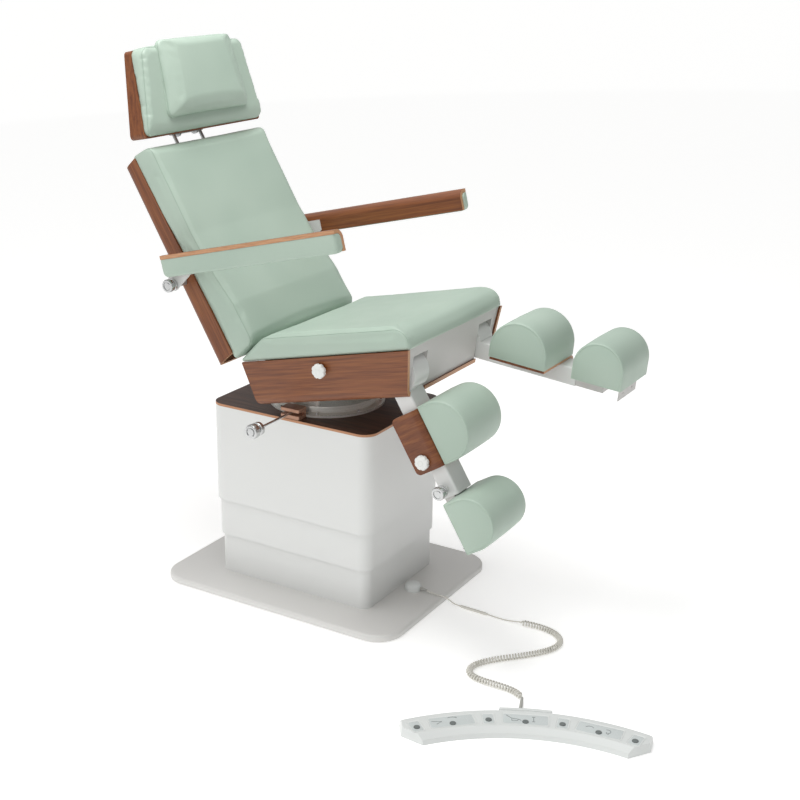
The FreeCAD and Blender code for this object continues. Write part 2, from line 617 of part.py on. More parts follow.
def seat_frame():
    """Rails, ears, the tilt shaft and the leg axle, welded together under the cushion."""
    ear = LEG_AXLE_RADIUS * 2
    low = TILT_Z - TILT_SHAFT_RADIUS * 1.6
    eye = RECLINE_EYE_RADIUS * 0.9
    outline = [(LEG_HINGE_Y - ear, LEG_HINGE_Z - ear), (LEG_HINGE_Y + ear, LEG_HINGE_Z - ear),
               (TILT_Y - YOKE_TOP_RADIUS, low), (TILT_Y + YOKE_TOP_RADIUS, low),
               (RECLINE_Y, RECLINE_Z - eye), (RECLINE_Y - eye, RECLINE_Z),
               (LEG_HINGE_Y - ear, LEG_HINGE_Z + ear)]
    pieces = []
    for side in (-1, 1):
        x0 = side * RAIL_X - YOKE_CHEEK / 2
        pieces.append(prism_x(outline, x0, x0 + YOKE_CHEEK))
        pieces.append(Part.makeCylinder(eye, YOKE_CHEEK, Vector(x0, RECLINE_Y, RECLINE_Z), Vector(1, 0, 0)))
    axle_end = LEG_CENTRE_X + LEG_WIDTH / 2 + YOKE_CHEEK / 4
    pieces.append(rod(Vector(-axle_end, LEG_HINGE_Y, LEG_HINGE_Z), Vector(axle_end, LEG_HINGE_Y, LEG_HINGE_Z),
                      LEG_AXLE_RADIUS))
    shaft_end = max(YOKE_HALF_SPAN, RAIL_X) + YOKE_CHEEK / 2
    pieces.append(rod(Vector(-shaft_end, TILT_Y, TILT_Z), Vector(shaft_end, TILT_Y, TILT_Z),
                      TILT_SHAFT_RADIUS))
    pivot_end = UPRIGHT_X + YOKE_CHEEK / 2
    pieces.append(rod(Vector(-pivot_end, RECLINE_Y, RECLINE_Z), Vector(pivot_end, RECLINE_Y, RECLINE_Z),
                      RECLINE_SHAFT_RADIUS))
    for half, y, low, high in BEAMS:
        pieces.append(placed(box(-half, half, y, y + BEAM_WIDTH, low, high), SEAT_FRAME))
    return pieces[0].fuse(pieces[1:]).removeSplitter()


def rounded_outline(points, x):
    """A closed (y, z) outline at an x, with a corner radius in each point."""
    count = len(points)
    spots = [Vector(x, y, z) for y, z, radius in points]
    ends = []
    for index, (y, z, radius) in enumerate(points):
        here = spots[index]
        back = (spots[index - 1] - here).normalize()
        ahead = (spots[(index + 1) % count] - here).normalize()
        if radius == 0:
            ends.append((here, None, here))
            continue
        half = back.getAngle(ahead) / 2
        reach = radius / math.tan(half)
        inward = (back + ahead).normalize()
        middle = here + inward * (radius / math.sin(half) - radius)
        ends.append((here + back * reach, middle, here + ahead * reach))
    edges = []
    for index, (first, middle, last) in enumerate(ends):
        if middle is not None:
            edges.append(Part.Arc(first, middle, last).toShape())
        start, end = last, ends[(index + 1) % count][0]
        if (end - start).Length > 1e-6:
            edges.append(Part.makeLine(start, end))
    return Part.Wire(edges)


def profile_pad(points, half, low_edges, edge_round):
    """A pad of one side profile, with its edges at both ends rounded past the first straight ones."""
    solid = Part.Face(rounded_outline(points, -half)).extrude(Vector(2 * half, 0, 0))
    ends = [edge for edge in solid.Edges if edge.BoundBox.XLength < 1e-3 and not low_edges(edge.BoundBox)]
    return solid.makeFillet(edge_round, ends)


def seat_cushion():
    """A waterfall nose in front and a slanted rear that the back cushion rests against."""
    tall = SEAT_CUSHION_HEIGHT
    front = -SEAT_CUSHION_OVERHANG
    points = [(SEAT_CUSHION_END, SOFT_GAP, 0), (SEAT_CUSHION_END, SEAT_CUSHION_LIP, SEAT_CUSHION_LIP * 0.6),
              (SEAT_CUSHION_TOP_END, tall, SEAT_REAR_ROUND), (front, tall - OVERRUN, SEAT_NOSE),
              (front, SOFT_GAP, 0)]
    pad = profile_pad(points, SEAT_CUSHION_HALF,
                      lambda bounds: bounds.ZMax < SEAT_CUSHION_LIP + SOFT_GAP, CUSHION_EDGE)
    return placed(pad, SEAT_FRAME)


def scalloped_knob(start, direction, stud):
    """A moulded hand knob with finger hollows round its rim, and its stud."""
    disc = Part.makeCylinder(KNOB_RADIUS, KNOB_HEIGHT, start, direction)
    disc = disc.makeChamfer(KNOB_HEIGHT * 0.12, [edge for edge in disc.Edges if edge.Closed])
    across = Vector(0, 1, 0)
    hollows = []
    for index in range(KNOB_LOBES):
        spoke = Rotation(direction, 360.0 / KNOB_LOBES * index).multVec(across)
        centre = start + spoke * (KNOB_RADIUS + KNOB_LOBE_RADIUS * 0.45) - direction * OVERRUN
        hollows.append(Part.makeCylinder(KNOB_LOBE_RADIUS, KNOB_HEIGHT + 2 * OVERRUN, centre, direction))
    bolt = Part.makeCylinder(KNOB_STUD_RADIUS, stud, start - direction * stud, direction)
    return disc.cut(hollows).fuse(bolt).removeSplitter()


def seat_knob(side):
    slope = (TRAY_HALF_TOP - TRAY_HALF_BOTTOM) / TRAY_DEPTH
    out = TRAY_HALF_TOP + SEAT_KNOB_Z * slope
    start = Vector(side * (out + KNOB_RADIUS * slope + 2 * SEAT_GAP), SEAT_KNOB_Y, SEAT_KNOB_Z)
    return placed(scalloped_knob(start, Vector(side, 0, 0), KNOB_RADIUS * slope + PLY), SEAT_FRAME)


# Backrest

def back_outline(front_shift):
    return [(0, 0), (BACK_LENGTH, 0), (BACK_LENGTH + BACK_RAKE_HIGH, BACK_DEPTH_HIGH + front_shift),
            (BACK_RAKE_LOW, BACK_DEPTH_LOW + front_shift)]


def back_shell():
    run = BACK_LENGTH + BACK_RAKE_LOW + BACK_RAKE_HIGH
    outer = rounded_block(-BACK_HALF, BACK_HALF, -BACK_RAKE_LOW, run, 0, 2 * BACK_DEPTH_LOW,
                          BACK_BEND, Vector(0, 1, 0))
    inner_half = BACK_HALF - PLY
    inner = rounded_block(-inner_half, inner_half, -BACK_RAKE_LOW - OVERRUN, run + OVERRUN, PLY,
                          2 * BACK_DEPTH_LOW + 2 * BACK_BEND, BACK_BEND - PLY, Vector(0, 1, 0))
    outline = prism_x(back_outline(0), -BACK_HALF - OVERRUN, BACK_HALF + OVERRUN)
    shell = outer.cut(inner).common(outline)
    pivot = local(BACK_FRAME, ARM_PIVOT)
    bore = rod(Vector(-BACK_HALF - OVERRUN, pivot.y, pivot.z), Vector(BACK_HALF + OVERRUN, pivot.y, pivot.z),
               ARM_PIN_RADIUS + PLY / 2)
    return placed(shell.cut(bore), BACK_FRAME)


def back_cushion():
    """A flat face above, a lumbar swell below and a raked bottom that follows the seat cushion."""
    taper = (BACK_DEPTH_LOW - BACK_DEPTH_HIGH) / (BACK_LENGTH + BACK_RAKE_HIGH - BACK_RAKE_LOW)

    def base(y):
        return BACK_DEPTH_LOW - taper * (y - BACK_RAKE_LOW) + SOFT_GAP

    low = BACK_CUSHION_LOW
    toe = low + BACK_CUSHION_RAKE * (LUMBAR_FACE - BACK_DEPTH_LOW)
    top = BACK_CUSHION_TOP
    points = [(low, base(low), 0), (toe, LUMBAR_FACE, 2 * CUSHION_EDGE),
              (LUMBAR_END, LUMBAR_FACE - OVERRUN, LUMBAR_ROUND),
              (LUMBAR_BLEND, BACK_CUSHION_FACE, LUMBAR_BLEND_ROUND),
              (top, BACK_CUSHION_FACE, 2 * CUSHION_EDGE), (top, base(top), 0)]
    pad = profile_pad(points, BACK_CUSHION_HALF,
                      lambda bounds: bounds.ZMax < BACK_DEPTH_LOW + 4 * SOFT_GAP, CUSHION_EDGE)
    return placed(pad, BACK_FRAME)


def back_frame():
    """Uprights with recline eyes, the rod sockets and the armrests' cross shaft."""
    recline = local(BACK_FRAME, Vector(0, RECLINE_Y, RECLINE_Z))
    pivot = local(BACK_FRAME, ARM_PIVOT)
    front = pivot.z + YOKE_CHEEK
    rear = PLY + SEAT_GAP
    top = BACK_LENGTH - 2 * BACK_BEND
    eye = RECLINE_EYE_RADIUS
    pieces = []
    for side in (-1, 1):
        x0 = side * UPRIGHT_X - YOKE_CHEEK / 2
        x1 = x0 + YOKE_CHEEK
        pieces.append(prism_x([(0, rear), (top, rear), (top, front), (4 * eye, front),
                               (recline.y, recline.z + eye), (recline.y - eye, recline.z)], x0, x1))
        pieces.append(Part.makeCylinder(eye, YOKE_CHEEK, Vector(x0, recline.y, recline.z), Vector(1, 0, 0)))
    block_low = ROD_START + 2 * BACK_BEND
    block_high = block_low + 2 * BACK_BEND
    reach = UPRIGHT_X + YOKE_CHEEK / 2
    bar = box(-reach, reach, block_low, block_high, rear, ROD_DEPTH + ROD_RADIUS * 1.4)
    guide_high = BACK_LENGTH - PLY
    guides = box(-2 * ROD_HALF_SPACING, 2 * ROD_HALF_SPACING, guide_high - PLY, guide_high, rear,
                 ROD_DEPTH + ROD_RADIUS * 1.2)
    spine = box(-ROD_HALF_SPACING, ROD_HALF_SPACING, block_low, guide_high, rear, rear + PLY)
    shaft_half = ARM_INNER_FACE - ARM_BRACKET_THICKNESS - 2 * SEAT_GAP
    shaft = rod(Vector(-shaft_half, pivot.y, pivot.z), Vector(shaft_half, pivot.y, pivot.z),
                ARM_PIN_RADIUS * 1.6)
    pin_end = ARM_INNER_FACE + ARM_PLY + ARM_BRACKET_THICKNESS
    pin = rod(Vector(-pin_end, pivot.y, pivot.z), Vector(pin_end, pivot.y, pivot.z), ARM_PIN_RADIUS)
    frame = pieces[0].fuse(pieces[1:] + [bar, guides, spine, shaft, pin])
    bores = [rod(Vector(-2 * reach, recline.y, recline.z), Vector(2 * reach, recline.y, recline.z),
                 RECLINE_SHAFT_RADIUS + BORE_CLEARANCE)]
    for side in (-1, 1):
        x = side * ROD_HALF_SPACING
        bores.append(rod(Vector(x, ROD_START, ROD_DEPTH), Vector(x, BACK_LENGTH + OVERRUN, ROD_DEPTH),
                         ROD_RADIUS + BORE_CLEARANCE))
    return placed(frame.cut(bores).removeSplitter(), BACK_FRAME)


# Headrest

def headrest_rods():
    """Two rods and the cross bar that the headrest turns on."""
    bar = rod(Vector(-HEAD_BAR_HALF, ROD_END, ROD_DEPTH), Vector(HEAD_BAR_HALF, ROD_END, ROD_DEPTH),
              HEAD_BAR_RADIUS)
    rods = [rod(Vector(side * ROD_HALF_SPACING, ROD_START, ROD_DEPTH),
                Vector(side * ROD_HALF_SPACING, ROD_END, ROD_DEPTH), ROD_RADIUS) for side in (-1, 1)]
    return placed(bar.fuse(rods).removeSplitter(), BACK_FRAME)


def head_pivot():
    return local(HEAD_FRAME, BACK_FRAME.multVec(Vector(0, ROD_END, ROD_DEPTH)))


def trapezoid(inset, low, high, z0, z1, corner):
    """The headrest's face outline, drawn in by an inset and run forward."""
    lean = (HEAD_HALF_LOW - HEAD_HALF_HIGH) / HEAD_HEIGHT
    half_low = HEAD_HALF_LOW - inset - lean * low
    half_high = HEAD_HALF_LOW - inset - lean * high
    block = prism_z([(-half_low, low), (half_low, low), (half_high, high), (-half_high, high)], z0, z1)
    return block.makeFillet(corner, along(Vector(0, 0, 1), block))


def head_wedge(gap, margin):
    """Everything on the rear side of the shell's slanted front edge."""
    slope = (HEAD_DEPTH_HIGH - HEAD_DEPTH_LOW) / HEAD_HEIGHT
    low, high = -margin, HEAD_HEIGHT + margin
    points = [(low, -margin), (high, -margin), (high, HEAD_DEPTH_LOW + slope * high + gap),
              (low, HEAD_DEPTH_LOW + slope * low + gap)]
    return prism_x(points, -HEAD_HALF_LOW - margin, HEAD_HALF_LOW + margin)


def head_shell():
    """A plywood tray, and the bracket that carries it on the cross bar."""
    outer = trapezoid(0, 0, HEAD_HEIGHT, 0, HEAD_DEPTH_LOW + OVERRUN, HEAD_SHELL_CORNER)
    pocket = trapezoid(PLY, PLY, HEAD_HEIGHT - PLY, PLY, 2 * HEAD_DEPTH_LOW, HEAD_SHELL_CORNER - PLY)
    shell = outer.cut(pocket).common(head_wedge(0, HEAD_CORNER))
    pivot = head_pivot()
    plate = box(-HEAD_BRACKET_HALF, HEAD_BRACKET_HALF, PLY / 2, HEAD_BRACKET_HEIGHT,
                -HEAD_BRACKET_THICKNESS, 0)
    pieces = [plate]
    for side in (-1, 1):
        x0 = side * HEAD_EAR_X - HEAD_EAR_THICKNESS / 2
        x1 = x0 + HEAD_EAR_THICKNESS
        pieces.append(prism_x([(pivot.y, pivot.z - HEAD_EAR_RADIUS),
                               (HEAD_BRACKET_HEIGHT * 0.7, -HEAD_BRACKET_THICKNESS),
                               (PLY / 2, -HEAD_BRACKET_THICKNESS), (pivot.y - HEAD_EAR_RADIUS, pivot.z)],
                              x0, x1))
        ear_start = Vector(x0, pivot.y, pivot.z)
        pieces.append(Part.makeCylinder(HEAD_EAR_RADIUS, HEAD_EAR_THICKNESS, ear_start, Vector(1, 0, 0)))
    bore = rod(Vector(-HEAD_BAR_HALF, pivot.y, pivot.z), Vector(HEAD_BAR_HALF, pivot.y, pivot.z),
               HEAD_BAR_RADIUS + BORE_CLEARANCE)
    return placed(shell.fuse(pieces).cut(bore).removeSplitter(), HEAD_FRAME)


def head_cushion():
    """Cushion and the raised pillow sewn on it, as one piece."""
    high = HEAD_HEIGHT + HEAD_CUSHION_RISE
    block = trapezoid(1, 0, high, 0, HEAD_FACE_LOW, HEAD_CORNER)
    slope = (HEAD_FACE_HIGH - HEAD_FACE_LOW) / high
    room = HEAD_CORNER
    keep = prism_x([(-room, -room), (high + room, -room),
                    (high + room, HEAD_FACE_LOW + slope * (high + room)),
                    (-room, HEAD_FACE_LOW - slope * room)], -HEAD_HALF_LOW - room, HEAD_HALF_LOW + room)
    block = block.common(keep)
    rim = [edge for edge in block.Edges if edge.BoundBox.ZMin > HEAD_FACE_HIGH - OVERRUN]
    block = block.makeFillet(HEAD_CUSHION_ROUND, rim)
    return placed(block.cut(head_wedge(SOFT_GAP, 2 * HEAD_CORNER)), HEAD_FRAME)


def head_pillow():
    """A raised pillow with a tall lower facet."""
    slope = (HEAD_FACE_HIGH - HEAD_FACE_LOW) / (HEAD_HEIGHT + HEAD_CUSHION_RISE)

    def face(y):
        return HEAD_FACE_LOW + slope * y + SOFT_GAP

    points = [(PILLOW_TOP, face(PILLOW_TOP), 0),
              (PILLOW_TOP, face(PILLOW_TOP) + PILLOW_THICK_HIGH, PILLOW_ROUND),
              (PILLOW_CREST, face(PILLOW_CREST) + PILLOW_THICK_LOW, 2 * PILLOW_ROUND),
              (PILLOW_BOTTOM, face(PILLOW_BOTTOM), 0)]
    solid = Part.Face(rounded_outline(points, -PILLOW_HALF_LOW)).extrude(Vector(2 * PILLOW_HALF_LOW, 0, 0))
    plan = prism_z([(-PILLOW_HALF_LOW, PILLOW_BOTTOM - OVERRUN), (PILLOW_HALF_LOW, PILLOW_BOTTOM - OVERRUN),
                    (PILLOW_HALF_HIGH, PILLOW_TOP + OVERRUN), (-PILLOW_HALF_HIGH, PILLOW_TOP + OVERRUN)],
                   0, 2 * HEAD_FACE_LOW)
    return placed(solid.common(plan), HEAD_FRAME)


# Armrests

def arm_flip(shape, side):
    """The left arm is the right one turned end for end."""
    if side < 0:
        return shape
    turned = shape.copy()
    turned.rotate(Vector(0, ARM_REAR - ARM_LENGTH / 2, 0), Vector(0, 0, 1), 180)
    return turned


def arm_board(side):
    """Bent plywood: an inner wall that turns over the pad's top, so its cut edge faces outward."""
    inner, outer = -ARM_INNER_FACE, -ARM_INNER_FACE - ARM_WIDTH
    rear, front = ARM_REAR, ARM_REAR - ARM_LENGTH
    board = box(outer, inner, front, rear, ARM_BOTTOM, ARM_TOP)
    bend = [edge for edge in along(Vector(0, 1, 0), board)
            if edge.BoundBox.XMin > inner - SOFT_GAP and edge.BoundBox.ZMin > ARM_TOP - SOFT_GAP]
    board = board.makeFillet(ARM_BEND, bend)
    low_face, side_face = ARM_TOP - ARM_PLY, inner - ARM_PLY
    hollow = box(outer - OVERRUN, side_face, front - OVERRUN, rear + OVERRUN, ARM_BOTTOM - OVERRUN, low_face)
    bend = [edge for edge in along(Vector(0, 1, 0), hollow)
            if edge.BoundBox.XMin > side_face - SOFT_GAP and edge.BoundBox.ZMin > low_face - SOFT_GAP]
    hollow = hollow.makeFillet(ARM_BEND - ARM_PLY, bend)
    return placed(arm_flip(board.cut(hollow), side), ARM_FRAME)


def arm_pad(side):
    """A pad in the corner under the board's top, which stands a little past the board's rear end."""
    inner = -ARM_INNER_FACE - ARM_PLY - SOFT_GAP
    outer = SOFT_GAP - ARM_INNER_FACE - ARM_WIDTH
    front, rear = ARM_REAR - ARM_LENGTH - SOFT_GAP, ARM_REAR + ARM_PAD_REAR
    top = ARM_TOP - ARM_PLY - SOFT_GAP
    pad = box(outer, inner, front, rear, ARM_PAD_LOW, top)
    bend = [edge for edge in along(Vector(0, 1, 0), pad)
            if edge.BoundBox.XMin > inner - SOFT_GAP and edge.BoundBox.ZMin > top - SOFT_GAP]
    pad = pad.makeFillet(ARM_BEND - ARM_PLY + SOFT_GAP, bend)
    corners = [edge for edge in along(Vector(0, 0, 1), pad) if edge.BoundBox.XMax < outer + SOFT_GAP]
    pad = pad.makeFillet(ARM_PLY, corners)
    rims = [edge for edge in pad.Edges
            if edge.BoundBox.ZMax < ARM_PAD_LOW + SOFT_GAP and edge.BoundBox.XMin < inner - SOFT_GAP]
    pad = pad.makeFillet(PAD_EDGE, rims)
    return placed(arm_flip(pad, side), ARM_FRAME)


def arm_bracket(side):
    """A pressed plate from the clamp pin up to the armrest board."""
    inner = ARM_INNER_FACE - ARM_BRACKET_THICKNESS - SEAT_GAP / 3
    x0 = min(side * inner, side * (inner + ARM_BRACKET_THICKNESS))
    tall = ARM_BOTTOM + 2 * ARM_KNOB_RADIUS
    radius = ARM_KNOB_RADIUS
    outline = [(radius * 0.6, -radius * 0.8), (radius, 0), (-radius * 0.1, tall), (-radius * 4.6, tall),
               (-radius * 4.6, ARM_BOTTOM + radius * 0.3), (-radius * 0.6, -radius * 0.8)]
    plate = prism_x(outline, x0, x0 + ARM_BRACKET_THICKNESS)
    eye = Part.makeCylinder(radius, ARM_BRACKET_THICKNESS, Vector(x0, 0, 0), Vector(1, 0, 0))
    bore = Part.makeCylinder(ARM_PIN_RADIUS + BORE_CLEARANCE, 4 * ARM_BRACKET_THICKNESS,
                             Vector(x0 - ARM_BRACKET_THICKNESS, 0, 0), Vector(1, 0, 0))
    return placed(plate.fuse(eye).cut(bore).removeSplitter(), ARM_FRAME)


def arm_knob(side):
    start = Vector(side * (ARM_INNER_FACE + SEAT_GAP), 0, 0)
    knob = stepped_knob(start, Vector(side, 0, 0), ARM_KNOB_RADIUS, ARM_KNOB_LENGTH)
    pin_end = ARM_INNER_FACE + ARM_PLY + ARM_BRACKET_THICKNESS
    bore = rod(Vector(0, 0, 0), Vector(side * (pin_end + SEAT_GAP), 0, 0), ARM_PIN_RADIUS + BORE_CLEARANCE)
    return placed(knob.cut(bore), ARM_FRAME)


# Legs

def d_pad(x0, x1, start, length, face, rise):
    """A pad of D-shaped section: flat on its carrier, domed above, run along X."""
    half = length / 2
    straight = rise - half
    middle = -start - half
    base = face + straight
    points = [Vector(x0, middle - half, face), Vector(x0, middle + half, face),
              Vector(x0, middle + half, base), Vector(x0, middle - half, base)]
    crest = half * math.sqrt(0.5)
    summit = Vector(x0, middle, face + rise)
    dome = [Part.Arc(points[2], Vector(x0, middle + crest, base + crest), summit).toShape(),
            Part.Arc(summit, Vector(x0, middle - crest, base + crest), points[3]).toShape()]
    edges = [Part.makeLine(points[0], points[1]), Part.makeLine(points[1], points[2])] + dome
    edges.append(Part.makeLine(points[3], points[0]))
    pad = Part.Face(Part.Wire(edges)).extrude(Vector(x1 - x0, 0, 0))
    ends = [edge for edge in pad.Edges
            if edge.BoundBox.XLength < SOFT_GAP and edge.BoundBox.ZMax > face + SOFT_GAP]
    return pad.makeFillet(PAD_EDGE, ends)


def leg_tube(side):
    half = LEG_WIDTH / 2
    floor = LEG_FACE - LEG_DEPTH
    tube = rounded_block(-half, half, -LEG_TUBE_END, 0, floor, LEG_FACE, LEG_ROUND, Vector(0, 1, 0))
    drum = Part.makeCylinder(LEG_DRUM_RADIUS, LEG_WIDTH, Vector(-half, 0, 0), Vector(1, 0, 0))
    body = tube.fuse(drum)
    slide_low = floor + LEG_WALL
    bay = box(-half + LEG_WALL, half - LEG_WALL, -LEG_TUBE_END + 4 * LEG_WALL,
              -LEG_DRUM_RADIUS - 4 * LEG_WALL, slide_low, LEG_FACE - LEG_WALL)
    mouth = box(-SLIDE_WIDTH / 2 - SEAT_GAP, SLIDE_WIDTH / 2 + SEAT_GAP, -LEG_TUBE_END - OVERRUN,
                -LEG_TUBE_END + 5 * LEG_WALL, slide_low - SEAT_GAP, slide_low + SLIDE_DEPTH + SEAT_GAP)
    bore = rod(Vector(-half - OVERRUN, 0, 0), Vector(half + OVERRUN, 0, 0), LEG_AXLE_RADIUS + BORE_CLEARANCE)
    slide_middle = slide_low + SLIDE_DEPTH / 2
    pin_hole = rod(Vector(0, -PLUNGER_AT, slide_middle),
                   Vector(side * (half + OVERRUN), -PLUNGER_AT, slide_middle),
                   PLUNGER_PIN_RADIUS + BORE_CLEARANCE)
    barrel = Part.makeCylinder(PLUNGER_BARREL_RADIUS, PLUNGER_BARREL_LENGTH,
                               Vector(side * half, -PLUNGER_AT, slide_middle), Vector(side, 0, 0))
    barrel_hole = rod(Vector(side * half, -PLUNGER_AT, slide_middle),
                      Vector(side * (half + 2 * PLUNGER_BARREL_LENGTH), -PLUNGER_AT, slide_middle),
                      PLUNGER_PIN_RADIUS + BORE_CLEARANCE)
    body = body.fuse(barrel).cut([bay, mouth, bore, pin_hole, barrel_hole])
    return placed(body.removeSplitter(), leg_frame(side))


def calf_start(side):
    return CALF_START_RIGHT if side < 0 else CALF_START_LEFT


def calf_shell(side):
    """Bent plywood: a plate under the pad that turns down past the tube's outer side."""
    start = calf_start(side)
    top = LEG_FACE + SEAT_GAP + CALF_PLY
    y0, y1 = -start - CALF_LENGTH + SOFT_GAP, -start - OVERRUN
    wall = side * CALF_WALL_X
    far = -side * (CALF_INNER_X - SOFT_GAP * OVERRUN)
    outer = box(min(wall, far), max(wall, far), y0, y1, top - CALF_PLY - CALF_WALL_DROP, top)
    corner = [edge for edge in along(Vector(0, 1, 0), outer)
              if edge.BoundBox.ZMin > 0 and abs(edge.BoundBox.XMin - wall) < SOFT_GAP]
    outer = outer.makeFillet(CALF_BEND, corner)
    inner_wall = side * (CALF_WALL_X - CALF_PLY)
    inner_far = far - side * OVERRUN
    inner = box(min(inner_wall, inner_far), max(inner_wall, inner_far), y0 - OVERRUN, y1 + OVERRUN,
                top - 2 * CALF_WALL_DROP, top - CALF_PLY)
    corner = [edge for edge in along(Vector(0, 1, 0), inner)
              if edge.BoundBox.ZMin > 0 and abs(edge.BoundBox.XMin - inner_wall) < SOFT_GAP]
    inner = inner.makeFillet(CALF_BEND - CALF_PLY, corner)
    shell = outer.cut(inner)
    ends = [edge for edge in along(Vector(1, 0, 0), shell) if edge.BoundBox.ZMax < -CALF_WALL_DROP / 2]
    shell = shell.makeFillet(2 * CALF_PLY, ends)
    stud_y = -start - CALF_LENGTH + 2 * KNOB_RADIUS * 0.75
    stud = rod(Vector(0, stud_y, -CALF_KNOB_BACK),
               Vector(side * (CALF_WALL_X + OVERRUN), stud_y, -CALF_KNOB_BACK),
               KNOB_STUD_RADIUS + BORE_CLEARANCE)
    return placed(shell.cut(stud), leg_frame(side))


def calf_knob(side):
    y = -calf_start(side) - CALF_LENGTH + 2 * KNOB_RADIUS * 0.75
    start = Vector(side * (CALF_WALL_X + SEAT_GAP), y, -CALF_KNOB_BACK)
    stud = CALF_WALL_X - LEG_WIDTH / 2 - SEAT_GAP
    return placed(scalloped_knob(start, Vector(side, 0, 0), stud), leg_frame(side))


def calf_pad(side):
    outer, inner = side * CALF_OUTER_X, -side * CALF_INNER_X
    face = LEG_FACE + SEAT_GAP + CALF_PLY + SOFT_GAP
    pad = d_pad(min(outer, inner), max(outer, inner), calf_start(side), CALF_LENGTH, face, CALF_RISE)
    return placed(pad, leg_frame(side))


def foot_slide(side):
    """The bar that slides in the leg tube, with the foot pad's carrier plate."""
    low = LEG_FACE - LEG_DEPTH + LEG_WALL
    half = SLIDE_WIDTH / 2
    bar = box(-half, half, -SLIDE_END, -SLIDE_START, low, low + SLIDE_DEPTH)
    plate_low = low + SLIDE_DEPTH
    plate_top = FOOT_FACE - SOFT_GAP
    plate = box(-CARRIER_PLATE_HALF, CARRIER_PLATE_HALF, -CARRIER_END, -FOOT_START - OVERRUN,
                plate_top - CARRIER_PLATE, plate_top)
    packer = box(-half, half, -SLIDE_END, -FOOT_START - OVERRUN, plate_low, plate_top)
    lip = box(-CARRIER_PLATE_HALF, CARRIER_PLATE_HALF, -CARRIER_END, -CARRIER_END + CARRIER_PLATE,
              plate_top - CARRIER_LIP, plate_top)
    spots = [Vector(x * CARRIER_PLATE_HALF * 0.5, -CARRIER_END - CARRIER_PLATE,
                    plate_top - CARRIER_LIP * 0.55) for x in (-1, 1)]
    holes = [Part.makeCylinder(CARRIER_HOLE_RADIUS, 4 * CARRIER_PLATE, spot, Vector(0, 1, 0))
             for spot in spots]
    body = bar.fuse([packer, plate, lip]).cut(holes)
    middle = low + SLIDE_DEPTH / 2
    edge = side * (half + OVERRUN)
    bottom = side * (half - 1.4 * PLUNGER_PIN_RADIUS)
    reach = PLUNGER_PIN_RADIUS + SEAT_GAP
    groove = box(min(edge, bottom), max(edge, bottom), -PLUNGER_AT - reach, -PLUNGER_AT + FOOT_TRAVEL + reach,
                 middle - reach, middle + reach)
    return placed(body.cut(groove).removeSplitter(), leg_frame(side))


def foot_pad(side):
    centre = side * FOOT_OFFSET
    pad = d_pad(centre - FOOT_HALF, centre + FOOT_HALF, FOOT_START, FOOT_LENGTH, FOOT_FACE, FOOT_RISE)
    return placed(pad, leg_frame(side))


def index_plunger(side):
    half = LEG_WIDTH / 2
    middle = LEG_FACE - LEG_DEPTH + LEG_WALL + SLIDE_DEPTH / 2
    start = Vector(side * (half + PLUNGER_BARREL_LENGTH + SEAT_GAP), -PLUNGER_AT, middle)
    knob = stepped_knob(start, Vector(side, 0, 0), PLUNGER_KNOB_RADIUS, PLUNGER_KNOB_LENGTH)
    tip = Vector(side * (SLIDE_WIDTH / 2 - PLUNGER_PIN_RADIUS), -PLUNGER_AT, middle)
    return placed(knob.fuse(rod(tip, start, PLUNGER_PIN_RADIUS)).removeSplitter(), leg_frame(side))


# Foot control

def polar(radius, degrees, z):
    angle = math.radians(degrees)
    return CONTROL_CENTRE + Vector(radius * math.cos(angle), radius * math.sin(angle), z)


def button_angle(index):
    return CONTROL_MIDDLE_ANGLE + (BUTTON_COUNT // 2 - index) * BUTTON_SPACING


def button_place(index):
    ring = BUTTON_RING if index % 2 == 0 else BUTTON_RING_WIDE
    return polar(ring, button_angle(index), 0)


